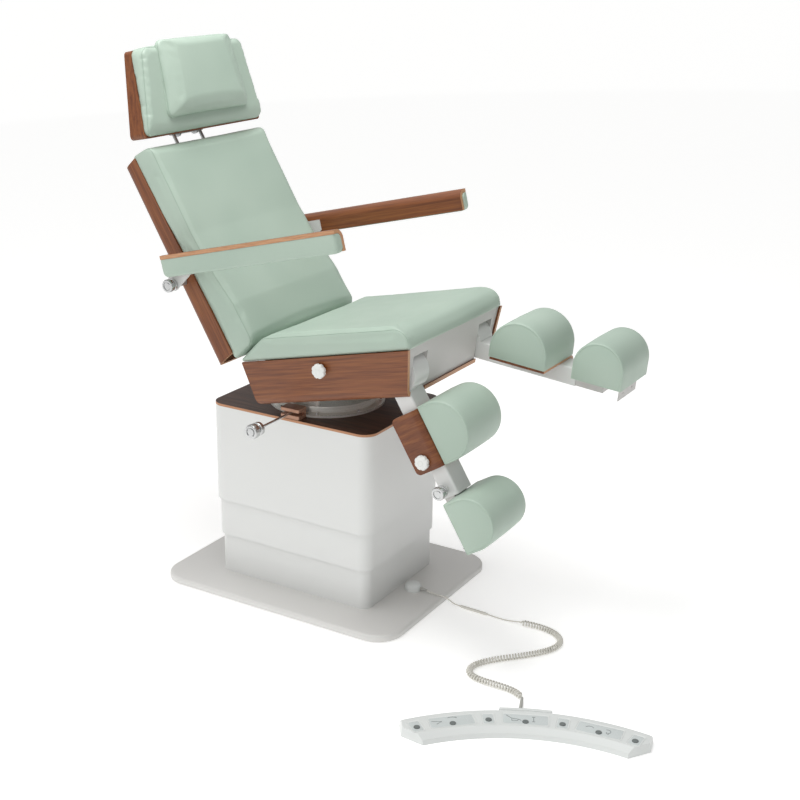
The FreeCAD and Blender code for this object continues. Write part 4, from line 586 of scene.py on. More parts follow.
def slice_at(bm: BMesh, place: Point, normal: Point, drop_outer: bool = False) -> None:
    """Cuts a mesh through at a plane.

    Args:
        bm: The mesh.
        place: A point of the plane, in metres.
        normal: The way that it faces.
        drop_outer: Whether what lies past the plane goes and the cut is closed.
    """
    cut = bmesh.ops.bisect_plane(bm, geom=bm.verts[:] + bm.edges[:] + bm.faces[:], plane_co=place,
                                 plane_no=normal, clear_outer=drop_outer)
    if drop_outer:
        rim = [item for item in cut["geom_cut"] if isinstance(item, BMEdge)]
        bmesh.ops.holes_fill(bm, edges=rim)


def merge(bm: BMesh, other: BMesh) -> None:
    """Adds another mesh to a mesh and frees the other.

    Args:
        bm: The mesh that grows.
        other: The mesh that is added.
    """
    keep = bpy.data.meshes.new("added")
    other.to_mesh(keep)
    other.free()
    bm.from_mesh(keep)
    bpy.data.meshes.remove(keep)


def runs_along(edge: BMEdge, axis: int) -> bool:
    """Whether an edge runs along an axis."""
    run = edge.verts[1].co - edge.verts[0].co
    return abs(run[axis]) > 0.999 * run.length > 0


def middle(edge: BMEdge) -> Vector:
    """An edge's middle."""
    return (edge.verts[0].co + edge.verts[1].co) / 2


def bends(edge: BMEdge, degrees: float) -> bool:
    """Whether the faces beside an edge meet at more than an angle."""
    return edge.calc_face_angle(0) > math.radians(degrees)


def on_end(edge: BMEdge, half: float) -> bool:
    """Whether an edge lies in an end face of a prism along X, half its length in millimetres."""
    return abs(abs(middle(edge).x) - half * MM) < 1e-5 and not runs_along(edge, 0)


def shade_smooth(mesh: Mesh) -> None:
    """Shades all faces smooth."""
    for polygon in mesh.polygons:
        polygon.use_smooth = True


def stand(name: str, data: ID) -> Object:
    """Makes an object of a mesh, a curve, a lamp or a camera and links it to the scene.

    Args:
        name: The object's name.
        data: What it shows or holds.

    Returns:
        The object, at the origin.
    """
    item = bpy.data.objects.new(name, data)
    bpy.context.scene.collection.objects.link(item)
    return item


def shown_mesh(item: Object) -> Mesh:
    """A new mesh of a curve, or of a piece as its modifiers leave it."""
    graph = bpy.context.evaluated_depsgraph_get()
    return bpy.data.meshes.new_from_object(item.evaluated_get(graph), depsgraph=graph)


def bake(piece: Object) -> None:
    """Keeps what a piece's modifiers have made of it, and drops them.

    Args:
        piece: The object.
    """
    mesh = shown_mesh(piece)
    piece.modifiers.clear()
    piece.data = mesh


def tube(points: Sequence[Point], radius: float, name: str, material: Material, spline: str = "POLY",
         ring: int = 3, along: int = 8) -> Object:
    """A round strand along points, as a curve at the origin.

    Args:
        points: The line in metres.
        radius: Strand radius in metres.
        name: The piece's name.
        material: Its finish.
        spline: "POLY" or "NURBS".
        ring: How finely a quarter of its section is drawn.
        along: How finely a NURBS line is drawn from point to point.

    Returns:
        The curve object.
    """
    curve = bpy.data.curves.new(name, "CURVE")
    curve.dimensions = "3D"
    curve.bevel_depth = radius
    curve.bevel_resolution = ring
    curve.resolution_u = along
    curve.use_fill_caps = True
    line = curve.splines.new(spline)
    line.points.add(len(points) - 1)
    for spot, point in zip(line.points, points):
        spot.co = (*point, 1.0)
    if spline == "NURBS":
        line.order_u = 3
        line.use_endpoint_u = True
    curve.materials.append(material)
    return stand(name, curve)


class Workshop:
    """Turns meshes into pieces that ride on the frame."""

    def __init__(self, frame: dict[str, Any], palette: Palette) -> None:
        """Keeps the frame and the finishes.

        Args:
            frame: What the frame's load gave.
            palette: The finishes.
        """
        self.frame = frame
        self.palette = palette

    @staticmethod
    def raw(bm: BMesh, name: str, material: Material) -> Object:
        """Links a bmesh as a smooth object and frees it.

        Args:
            bm: The mesh.
            name: The piece's name.
            material: Its finish.

        Returns:
            The object.
        """
        mesh = bpy.data.meshes.new(name)
        bm.to_mesh(mesh)
        bm.free()
        shade_smooth(mesh)
        mesh.materials.append(material)
        return stand(name, mesh)

    def piece(self, bm: BMesh, name: str, material: Material, body: str, slot: str,
              place: Matrix | None = None, nodes: Iterable[str] = ()) -> Object:
        """Makes a finished rigid piece, shaded smooth with its sharp edges kept.

        Args:
            bm: The mesh, in its sub-assembly's frame.
            name: The piece's name.
            material: Its finish.
            body: The body that it rides on.
            slot: The record's material slot.
            place: From the sub-assembly's frame to the chair's.
            nodes: CAD nodes that it stands for.

        Returns:
            The object.
        """
        made = self.raw(bm, name, material)
        made.data.set_sharp_from_angle(angle=math.radians(38))
        return self.settle(made, body, slot, place, nodes)

    def strand(self, line: Sequence[Point], radius: float, name: str, material: Material, body: str,
               slot: str, place: Matrix, ring: int = 3) -> Object:
        """Makes a fine round strand, such as a seam's thread or a printed line, as a mesh.

        Args:
            line: Its points in metres, in its sub-assembly's frame.
            radius: Its radius in metres.
            name: The piece's name.
            material: Its finish.
            body: The body that it rides on.
            slot: The record's material slot.
            place: From the sub-assembly's frame to the chair's.
            ring: How finely a quarter of its section is drawn.

        Returns:
            The object.
        """
        curve = tube(line, radius, name, material, ring=ring)
        mesh = shown_mesh(curve)
        bpy.data.objects.remove(curve)
        shade_smooth(mesh)
        return self.settle(stand(name, mesh), body, slot, place)

    def settle(self, piece: Object, body: str, slot: str, place: Matrix | None = None,
               nodes: Iterable[str] = ()) -> Object:
        """Puts a piece in its place and lets it ride.

        Args:
            piece: The object, at the origin.
            body: The body that it rides on.
            slot: The record's material slot; not used.
            place: From its own frame to the chair's.
            nodes: CAD nodes that it stands for.

        Returns:
            The object.
        """
        if place is not None:
            piece.data.transform(place)
            piece.data.update()
        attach(piece, body)
        for node in nodes:
            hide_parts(node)
        LOG.info("%s rides on %s", piece.name, body)
        return piece

    def dress(self, material: Material, *nodes: str) -> None:
        """Gives CAD nodes a finish.

        Args:
            material: The finish.
            nodes: The nodes' names.
        """
        for node in nodes:
            item = self.frame["nodes"][node]
            if not item.material_slots:
                item.data.materials.append(material)
            for slot in item.material_slots:
                slot.material = material


# Cushions


@dataclass
class Swell:
    """How a cushion is blown up as cloth over its foam, in metres."""

    voxel: float = 6.0 * MM
    pressure: float = 2.5
    cap: float = 4.0 * MM       # the furthest that any point goes
    frames: int = 14
    rounds: int = 3
    floor: float | None = None  # height of a flat underside that stays

    def run(self, piece: Object) -> None:
        """Remeshes the piece, swells it, holds it to the cap and smooths it.

        Args:
            piece: The cushion's object, in its own frame.
        """
        remesh = piece.modifiers.new("even faces", "REMESH")
        remesh.mode = "VOXEL"
        remesh.voxel_size = self.voxel
        bake(piece)
        rest = [vert.co.copy() for vert in piece.data.vertices]
        self.blow(piece, rest)
        smooth = piece.modifiers.new("smooth", "SMOOTH")
        smooth.factor = 0.5
        smooth.iterations = self.rounds
        bake(piece)
        if self.floor is not None:
            for vert, start in zip(piece.data.vertices, rest):
                vert.co.z = max(vert.co.z, self.floor) if start.z > self.floor + self.voxel else start.z

    def blow(self, piece: Object, rest: Line) -> None:
        """Runs the cloth and limits how far each point goes.

        Args:
            piece: The cushion's object.
            rest: Where its points were.
        """
        held = piece.vertex_groups.new(name="held")
        low = min(point.z for point in rest)
        held.add([i for i, point in enumerate(rest) if point.z < low + self.voxel], 1.0, "REPLACE")
        cloth = piece.modifiers.new("cloth", "CLOTH")
        cloth.settings.use_pressure = True
        cloth.settings.uniform_pressure_force = self.pressure
        cloth.settings.vertex_group_mass = held.name
        cloth.settings.effector_weights.gravity = 0
        cloth.point_cache.frame_end = self.frames
        for frame in range(1, self.frames + 1):
            bpy.context.scene.frame_set(frame)
        bake(piece)
        bpy.context.scene.frame_set(1)
        for vert, start in zip(piece.data.vertices, rest):
            move = vert.co - start
            if move.length > self.cap:
                vert.co = start + move * (self.cap / move.length)


@dataclass
class Upholstery:
    """Sews cushions: swells them, draws in their seams and lays the seam's thread in. Sizes are in metres."""

    shop: Workshop
    seam_radius: float = 0.9 * MM
    seam_step: float = 5.0 * MM
    thread_share: float = 0.15      # of the thread's radius that stands up from the surface
    draw_width: float = 9.0 * MM
    draw_depth: float = 1.8 * MM
    ripple_depth: float = 0.5 * MM
    ripple_size: float = 70.0 * MM

    def on_surface(self, piece: Object, line: Line) -> list[Vector]:
        """Lays a line on a piece's surface.

        Args:
            piece: The cushion.
            line: Points near its surface.

        Returns:
            The points on the surface, raised by a share of the thread.
        """
        spots = []
        for point in line:
            found, spot, normal, _ = piece.closest_point_on_mesh(point)
            if found:
                spots.append(spot + normal * (self.seam_radius * self.thread_share))
        return spots

    @staticmethod
    def push(piece: Object, how_far: Callable[[Vector], float]) -> None:
        """Moves every point along its own normal, all at once.

        Args:
            piece: The cushion.
            how_far: The distance in metres for a place.
        """
        moved = []
        for spot, normal in [(vert.co.copy(), vert.normal.copy()) for vert in piece.data.vertices]:
            moved.extend(spot + normal * how_far(spot))
        piece.data.vertices.foreach_set("co", moved)
        piece.data.update()

    def draw_in(self, piece: Object, lines: Sequence[Line]) -> None:
        """Pulls the surface in along its seams.

        Args:
            piece: The cushion.
            lines: The seams.
        """
        tree = search_tree([point for line in lines for point in densify(line, self.draw_width / 2)])

        def pull(spot: Vector) -> float:
            """How far a place is pulled in, as a negative distance."""
            share = max(0.0, 1 - tree.find(spot)[2] / self.draw_width)
            return -self.draw_depth * share * share

        self.push(piece, pull)

    def ripple(self, piece: Object) -> None:
        """Lets the skin lie a little unevenly over the foam."""
        self.push(piece, lambda spot: noise.noise(spot / self.ripple_size) * self.ripple_depth)

    def sew(self, foam: tuple[BMesh, list[Line]], name: str, node: str, body: str, place: Matrix,
            swell: Swell, fill: float) -> None:
        """Makes one cushion and its seams.

        Args:
            foam: Its shape in its own frame, and the lines near the surface where its panels are joined.
            name: The piece's name.
            node: The CAD node that it stands for.
            body: The body that it rides on.
            place: From its own frame to the chair's.
            swell: How it is blown up.
            fill: How tight it is, from 0 to 1; not used.
        """
        bm, seams = foam
        cushion = self.shop.raw(bm, name, self.shop.palette.fabric)
        swell.run(cushion)
        self.ripple(cushion)
        self.draw_in(cushion, seams)
        finer = cushion.modifiers.new("smooth faces", "SUBSURF")
        finer.levels = 1
        finer.render_levels = 1
        bpy.context.view_layer.update()
        bake(cushion)
        shade_smooth(cushion.data)
        lines = [self.on_surface(cushion, densify(line, self.seam_step)) for line in seams]
        self.shop.settle(cushion, body, "upholstery", place, [node])
        for index, line in enumerate(lines):
            self.shop.strand(line, self.seam_radius, f"{name}_seam_{index + 1}", self.shop.palette.thread,
                             body, "upholstery", place, ring=1)


def search_tree(points: Line) -> KDTree:
    """A balanced search tree of points.

    Args:
        points: The points.

    Returns:
        The tree, ready to search.
    """
    tree = KDTree(len(points))
    for index, point in enumerate(points):
        tree.insert(point, index)
    tree.balance()
    return tree


def densify(line: Line, step: float) -> list[Vector]:
    """Adds points to a line so that none lie further apart than a step.

    Args:
        line: The points that stay.
        step: The furthest apart, in metres.

    Returns:
        The finer line.
    """
    spots = [line[0]]
    for start, end in zip(line, line[1:]):
        count = max(1, math.ceil((end - start).length / step))
        spots += [start.lerp(end, (index + 1) / count) for index in range(count)]
    return spots


def end_outlines(bm: BMesh, axis: int, inset: float, keep: Callable[[Vector], bool]) -> list[Line]:
    """The outlines of a prism's two end faces, drawn in a little, for seams.

    Args:
        bm: The prism.
        axis: The axis that it runs along.
        inset: How far inside the ends the lines lie, in metres.
        keep: Which points belong to the seam.

    Returns:
        One line for each end.
    """
    lines = []
    for sign in (-1, 1):
        face = max(bm.faces, key=lambda item: sign * item.calc_center_median()[axis])
        spots = [vert.co.copy() for vert in face.verts]
        kept = [keep(spot) for spot in spots]
        if all(kept):
            spots.append(spots[0].copy())
        else:
            first = next(i for i in range(len(spots)) if kept[i] and not kept[i - 1])
            spots = [spot for spot in spots[first:] + spots[:first] if keep(spot)]
        for spot in spots:
            spot[axis] -= sign * inset
        lines.append(spots)
    return lines


# Screws and knobs


def screw(radius: float, height: float) -> BMesh:
    """A round-headed screw with a sunk socket, sizes in millimetres.

    Args:
        radius: Radius of its head.
        height: Height of its head.

    Returns:
        The screw, along +Z.
    """
    socket, shoulder = 0.5 * radius, 0.8 * radius
    return lathe([(0, 0.45 * height), (socket, 0.45 * height), (socket, height), (shoulder, height),
                  (radius, 0.6 * height), (radius, 0), (0, 0)], 24)


def turned_knob(radius: float, length: float, opening: float = -90.0, flutes: int = 12) -> BMesh:
    """A turned metal knob along +Z: collar, neck, fluted head and a face with an open ring groove.

    Args:
        radius: Radius of the head in millimetres.
        length: Length in millimetres.
        opening: Where the ring groove is open, in degrees about +Z.
        flutes: How many shallow hollows run down the head.

    Returns:
        The knob.
    """
    profile_shares = [(0, 0), (0.86, 0), (0.92, 0.04), (0.92, 0.30), (0.86, 0.34), (0.72, 0.36), (0.72, 0.48),
                      (0.9, 0.50), (1, 0.56), (1, 0.90), (0.93, 0.985), (0.86, 1), (0.66, 1), (0.63, 0.93),
                      (0.52, 0.93), (0.49, 1), (0.2, 1.01), (0, 1.012)]
    head_share, groove_share, flute_share = 0.8, 0.57, 0.03
    bm = lathe([(radius * across, length * along) for across, along in profile_shares], 72)
    for vert in bm.verts:
        along = vert.co.z / (length * MM)
        across = vert.co.xy.length / (radius * MM)
        angle = math.atan2(vert.co.y, vert.co.x)
        if 0.5 < along < 0.95 and across > head_share:
            vert.co.xy *= 1 - flute_share * (0.5 - 0.5 * math.cos(flutes * angle))
        in_groove = along > 0.9 and abs(across - groove_share) < 0.07
        if in_groove and math.cos(angle - math.radians(opening)) > 0.8:
            vert.co.z = length * MM
    return bm


def hand_knob(fingers: int = 8) -> BMesh:
    """A moulded hand knob along +Z with hollows for the fingers and a raised centre cap.

    Args:
        fingers: How many hollows its rim has.

    Returns:
        The knob.
    """
    bm = lathe([(0, 0), (14, 0), (22.5, 3), (23, 5), (23, 13), (21, 15.5), (17, 16.6), (9.5, 17), (9, 16.2),
                (7.6, 16.2), (7.2, 17), (0, 17.4)], 96)
    hollow_start, hollow_width, hollow_share = 15, 8, 0.11
    for vert in bm.verts:
        past = vert.co.xy.length / MM - hollow_start
        if past > 0:
            hollow = max(0.0, math.cos(fingers * math.atan2(vert.co.y, vert.co.x))) ** 1.5
            vert.co.xy *= 1 - hollow_share * hollow * past / hollow_width
    return bm


# Base and column


@dataclass
class Column:
    """The floor plate, the telescoping covers, the board on top and the swivel ring."""

    shop: Workshop
    plate: tuple[float, float, float] = (900.0, 700.0, 90.0)        # length, width and corner
    plate_heights: tuple[float, float] = (4.0, 25.0)
    plate_round: float = 9.0
    shroud: tuple[float, float, float] = (612.0, 460.0, 47.0)
    covers: tuple[tuple[str, str, float, float], ...] = (   # name, body, low and high, the inner one first
        ("lower", "base", 25.0, 290.0), ("middle", "column_middle", 162.0, 480.0),
        ("upper", "lift", 290.0, 619.0))
    wall: float = 2.0
    step: float = 8.0
    board_heights: tuple[float, float] = (619.0, 627.0)
    ring_radii: tuple[float, float, float] = (118.0, 190.0, 165.0)  # bore, flange and drum
    ring_heights: tuple[float, float, float] = (627.0, 635.0, 650.0)
    screws: int = 8
    screw_circle: float = 178.0

    def slab(self, length: float, width: float, corner: float, low: float, high: float) -> BMesh:
        """A rounded rectangular slab, sizes in millimetres.

        Args:
            length: Size along Y.
            width: Size along X.
            corner: Radius of its upright corners.
            low: Height of its underside.
            high: Height of its top.

        Returns:
            The slab.
        """
        bm = box(mm(-width / 2, -length / 2, low), mm(width / 2, length / 2, high))
        round_edges(bm, lambda edge: runs_along(edge, 2), corner * MM, 16)
        return bm

    def cover(self, level: int, low: float, high: float) -> BMesh:
        """A thin-walled cover; level 0 is the outer one.

        Args:
            level: How many covers it stands inside.
            low: Height of its lower rim in millimetres.
            high: Height of its upper rim.

        Returns:
            The open cover.
        """
        length, width, corner = self.shroud
        inset = 2 * level * self.step
        bm = self.slab(length - inset, width - inset, corner - level * self.step, low, high)
        ends = [face for face in bm.faces if abs(face.normal.z) > 0.9]
        bmesh.ops.delete(bm, geom=ends, context="FACES")
        bmesh.ops.solidify(bm, geom=list(bm.faces), thickness=self.wall * MM)
        bmesh.ops.recalc_face_normals(bm, faces=bm.faces)
        return bm

    def base_plate(self) -> BMesh:
        """The floor plate with its upper edge rounded.

        Returns:
            The plate.
        """
        low, high = self.plate_heights
        bm = self.slab(*self.plate, low, high)
        round_edges(bm, lambda edge: middle(edge).z > (high - 1) * MM and bends(edge, 60),
                    self.plate_round * MM)
        return bm

    def ring(self) -> BMesh:
        """The stepped swivel ring: a flange and the drum that stands on it.

        Returns:
            The ring.
        """
        bore, flange, drum = self.ring_radii
        low, shelf, top = self.ring_heights
        soft, softer = 1.0, 2.5
        return lathe([(bore, low), (flange, low), (flange, shelf - soft), (flange - soft, shelf),
                      (drum + 2 * soft, shelf), (drum, shelf + 1.5 * soft), (drum, top - softer),
                      (drum - softer, top), (bore, top), (bore, low)], 96)

    def build(self) -> None:
        """Builds the base and the column."""
        shop, palette = self.shop, self.shop.palette
        shop.piece(self.base_plate(), "floor_plate", palette.plate, "base", "lacquer", nodes=["base_plate"])
        for index, (name, body, low, high) in enumerate(self.covers):
            bm = self.cover(len(self.covers) - 1 - index, low, high)
            shop.piece(bm, f"{name}_cover", palette.lacquer, body, "lacquer", nodes=[f"{name}_shroud"])
        board = self.slab(*self.shroud, *self.board_heights)
        shop.piece(board, "column_board", palette.board, "lift", "board", nodes=["top_board"])
        shop.piece(self.ring(), "swivel_ring", palette.ring, "lift", "steel", nodes=["bearing_ring"])
        for index in range(self.screws):
            angle = 2 * math.pi * (index + 0.5) / self.screws
            place = mm(self.screw_circle * math.cos(angle), self.screw_circle * math.sin(angle),
                       self.ring_heights[1])
            shop.piece(screw(5.0, 4.0), f"ring_screw_{index + 1}", palette.chrome, "lift", "chrome",
                       Matrix.Translation(place))
        shop.dress(palette.feet, "plate_feet")
        shop.dress(palette.steel, "lift_outer_tube", "lift_middle_tube", "lift_inner_tube")
        shop.dress(palette.bronze, "brake_block")
        shop.dress(palette.ring, "turntable")


@dataclass
class Brake:
    """The swivel brake's rod and its turned knob, which point to the sitter's right."""

    shop: Workshop
    rod: tuple[float, float, float] = (-205.0, -8.0, 645.0)
    rod_radius: float = 4.0
    rod_length: float = 182.0
    knob: tuple[float, float, float] = (-386.0, -8.0, 645.0)
    knob_radius: float = 23.0
    knob_length: float = 46.0

    def build(self) -> None:
        """Builds the rod and the knob."""
        shop, chrome, outward = self.shop, self.shop.palette.chrome, (-1, 0, 0)
        radius, length = self.rod_radius, self.rod_length
        rod = lathe([(0, 0), (radius, 0), (radius, length), (0, length)], 24)
        shop.piece(rod, "brake_rod", chrome, "brake", "chrome", facing(outward, mm(*self.rod)))
        knob = turned_knob(self.knob_radius, self.knob_length, opening=180.0)
        shop.piece(knob, "brake_knob", chrome, "brake", "chrome", facing(outward, mm(*self.knob)),
                   ["brake_lever"])


# Seat


@dataclass
class Seat:
    """The walnut tray, its front plate and the waterfall cushion."""

    shop: Workshop
    sewing: Upholstery
    half: float = 296.0
    tall: float = 74.0
    base: float = 0.4
    lip: float = 10.0
    front: float = -3.0
    rear: float = 619.0
    slope_start: float = 523.0
    fall: float = 6.0           # how much lower its front is
    nose_round: float = 46.0
    rear_round: float = 16.0
    side_round: float = 10.0
    seam_inset: float = 3.0
    seam_sink: float = 2.0
    knob: tuple[float, float, float] = (297.5, 322.0, -41.0)
    hood_half: float = 44.4
    hood_room: float = 63.4
    hood_wall: float = 1.4

    def cushion(self) -> tuple[BMesh, list[Line]]:
        """The foam's shape and its seams, in the seat's frame.

        Returns:
            The closed shape, and one line of points for each seam.
        """
        profile = [(self.rear, self.base), (self.rear, self.lip), (self.slope_start, self.tall),
                   (self.front, self.tall - self.fall), (self.front, self.base)]
        bm = outline_prism([mm(*point) for point in profile], -self.half * MM, self.half * MM, "X")
        half_up, half_way = self.tall / 2 * MM, self.rear / 2 * MM
        round_edges(bm, lambda edge: runs_along(edge, 0) and middle(edge).z > half_up
                    and middle(edge).y < half_way, self.nose_round * MM, 12)
        round_edges(bm, lambda edge: runs_along(edge, 0) and middle(edge).z > half_up
                    and middle(edge).y > half_way, self.rear_round * MM, 4)
        seams = end_outlines(bm, 0, self.seam_inset * MM, lambda spot: spot.z > self.seam_inset * MM)
        for spot in seams[0] + seams[1]:
            if spot.z > 50 * MM:
                spot.z -= self.seam_sink * MM
        round_edges(bm, lambda edge: on_end(edge, self.half) and middle(edge).z > 1 * MM,
                    self.side_round * MM, 4)
        return bm, seams

    def hood(self, side: Side) -> None:
        """The sheet metal over a leg's knuckle, behind the front plate's window.

        Args:
            side: The leg's side.
        """
        hinge = leg_place(side).translation
        half, room, wall = self.hood_half, self.hood_room, self.hood_wall
        reach, back, drop = -90.0, 12.0, -12.0
        bm = box(hinge + mm(-half, reach, room), hinge + mm(half, back, room + wall))
        for low, high in ((-half, wall - half), (half - wall, half)):
            merge(bm, box(hinge + mm(low, reach, drop), hinge + mm(high, back, room)))
        plate_outward = Vector((0, -0.9373, -0.3486))
        slice_at(bm, SEAT @ mm(0, 8.5, 0), SEAT.to_3x3() @ plate_outward, drop_outer=True)
        self.shop.piece(bm, f"leg_hood_{side.word}", self.shop.palette.front, "seat", "plate_grey")

    def build(self) -> None:
        """Builds the seat's visible pieces."""
        shop, palette = self.shop, self.shop.palette
        self.sewing.sew(self.cushion(), "seat_pad", "seat_cushion", "seat", SEAT, Swell(floor=self.base * MM),
                        0.85)
        shop.dress(palette.seat_ply, "seat_tray")
        shop.dress(palette.front, "front_plate")
        shop.dress(palette.lacquer, "seat_frame")
        x, y, z = self.knob
        for side in Side:
            node = f"seat_knob_{side.word}"
            shop.piece(hand_knob(), f"seat_hand_knob_{side.word}", palette.knob, node, "knob_white",
                       facing((side.value, 0, 0), SEAT @ mm(side.value * x, y, z)), [node])
            self.hood(side)


# Backrest and headrest


@dataclass
class Back:
    """The backrest's plywood shell and its cushion with the lumbar swell."""

    shop: Workshop
    sewing: Upholstery
    half: float = 297.0
    length: float = 700.0
    face: float = 131.0
    lumbar: float = 166.0       # height of its face over the lumbar swell
    side_face: float = 82.0     # height above which its side edges are rounded
    end_round: float = 22.0
    side_round: float = 15.0
    seam_inset: float = 3.0

    def cushion(self) -> tuple[BMesh, list[Line]]:
        """The foam's shape and its seams, in the back's frame.

        Returns:
            The closed shape, and one line of points for each seam.
        """
        profile = [(-7, 70.6), (16, self.lumbar), (150, self.lumbar - 3), (260, 143), (400, self.face),
                   (560, self.face), (self.length, self.face), (self.length, 52.0)]
        bm = outline_prism([mm(*point) for point in profile], -self.half * MM, self.half * MM, "X")
        near_end = 50.0
        round_edges(bm, lambda edge: runs_along(edge, 0) and middle(edge).z > (self.face - near_end / 4) * MM
                    and not near_end * MM < middle(edge).y < (self.length - near_end) * MM,
                    self.end_round * MM)
        seams = end_outlines(bm, 0, self.seam_inset * MM, lambda spot: spot.z > (self.side_face - 2) * MM)
        round_edges(bm, lambda edge: on_end(edge, self.half) and middle(edge).z > self.side_face * MM,
                    self.side_round * MM, 4)
        return bm, seams

    def build(self) -> None:
        """Builds the backrest's visible pieces."""
        self.sewing.sew(self.cushion(), "back_pad", "back_cushion", "back", BACK, Swell(), 0.8)
        self.shop.dress(self.shop.palette.back_ply, "back_shell")
        self.shop.dress(self.shop.palette.steel, "back_frame")


@dataclass
class Head:
    """The headrest: its shell, the rods, the cushion and the raised pillow on it."""

    shop: Workshop
    sewing: Upholstery
    half_low: float = 297.0
    half_high: float = 249.0
    low: float = 1.5
    height: float = 272.0
    shell_height: float = 268.0
    face: float = 82.0          # height of the cushion's face at its foot, before it rolls down
    face_fall: float = 8.0
    roll_length: float = 48.0
    roll_fall: float = 15.0
    base: float = 52.5          # height of the cushion's underside at its foot
    base_fall: float = 33.0
    corner: float = 24.0
    edge_round: float = 13.0
    pillow_half: float = 196.0
    pillow_top: float = 290.0
    pillow_crest: float = 88.0
    pillow_foot: float = 50.0
    pillow_corner: float = 22.0
    pillow_round: float = 14.0
    foot_width_share: float = 1.045
    taper_share: float = 0.10
    raised_width_share: float = 0.78

    def half_at(self, y: float) -> float:
        """Half the headrest's width at a height, in millimetres."""
        return self.half_low + (self.half_high - self.half_low) * y / self.height

    def face_at(self, y: float) -> float:
        """Height of the cushion's face, which rolls down to its lower edge, in millimetres."""
        roll = max(0.0, 1 - y / self.roll_length)
        return self.face - self.face_fall * y / self.height - self.roll_fall * roll * roll

    def cushion(self) -> tuple[BMesh, list[Line]]:
        """The flat cushion's shape and its seam, in the headrest's frame.

        Returns:
            The closed shape, and one line of points for each seam.
        """
        low, high = self.low, self.height
        outline = [(-self.half_at(low), low), (self.half_at(low), low), (self.half_at(high), high),
                   (-self.half_at(high), high)]
        bm = outline_prism([mm(*point) for point in outline], 0, self.face * MM)
        round_edges(bm, lambda edge: runs_along(edge, 2), self.corner * MM, 8)
        seam = end_outlines(bm, 2, 0, lambda spot: True)[1]
        for y in (10.0, 20.0, 30.0, 40.0, 50.0):
            slice_at(bm, mm(0, y, 0), (0, 1, 0))
        for vert in bm.verts:
            y = vert.co.y / MM
            base = self.base - self.base_fall * y / self.shell_height
            vert.co.z = (self.face_at(y) if vert.co.z > self.face / 2 * MM else base) * MM
        for spot in seam:
            spot.z = (self.face_at(spot.y / MM) - 5.0) * MM
        round_edges(bm, lambda edge: middle(edge).z > 50 * MM and bends(edge, 40), self.edge_round * MM, 4)
        return bm, [seam]

    def pillow(self) -> tuple[BMesh, list[Line]]:
        """The raised pillow's shape and its seam: its sides slope up to a smaller face.

        Returns:
            The closed shape, and one line of points for each seam.
        """
        top, foot, corner = self.pillow_top, self.pillow_foot, self.pillow_corner
        seam_high, seam_low, raised_from = 80.0, 93.0, 95.0     # heights over the headrest's frame
        profile = [(top, seam_high - 16), (top, seam_high), (top - 3, 96), (self.pillow_crest, 120),
                   (foot, seam_low), (foot, 70)]
        half = self.pillow_half
        bm = outline_prism([mm(*point) for point in profile], -half * MM, half * MM, "X")
        for sign in (-1, 1):
            ends = [vert for vert in bm.verts if vert.co.x * sign > 0 and
                    min(abs(vert.co.z - seam_high * MM), abs(vert.co.z - seam_low * MM)) < 1e-5]
            bmesh.ops.connect_verts(bm, verts=ends)
        for vert in bm.verts:
            along = (vert.co.y / MM - foot) / (top - foot)
            vert.co.x *= self.foot_width_share - self.taper_share * along
            if vert.co.z > raised_from * MM:
                vert.co.x *= self.raised_width_share
        wide = half * self.foot_width_share
        narrow = wide - half * self.taper_share
        beside = wide - (wide - narrow) / (top - foot) * corner
        above = seam_low - (seam_low - seam_high) / (top - foot) * corner
        seam = [mm(-narrow, top - 2, seam_high), mm(-beside, foot + corner, above),
                mm(corner - wide, foot, seam_low), mm(wide - corner, foot, seam_low),
                mm(beside, foot + corner, above), mm(narrow, top - 2, seam_high)]
        round_edges(bm, lambda edge: runs_along(edge, 2) and middle(edge).z < raised_from * MM, corner * MM)
        round_edges(bm, lambda edge: middle(edge).z > (seam_low - 4) * MM, self.pillow_round * MM, 5)
        return bm, [seam]

    def build(self) -> None:
        """Builds the headrest's visible pieces."""
        self.sewing.sew(self.cushion(), "head_pad", "head_cushion", "head", HEAD,
                        Swell(voxel=5 * MM, cap=3.5 * MM), 0.8)
        self.sewing.sew(self.pillow(), "pillow", "head_pillow", "head", HEAD,
                        Swell(voxel=4.5 * MM, cap=5 * MM, rounds=10), 0.8)
        self.shop.dress(self.shop.palette.head_ply, "head_shell")
        self.shop.dress(self.shop.palette.steel, "headrest_rods")


# Armrests


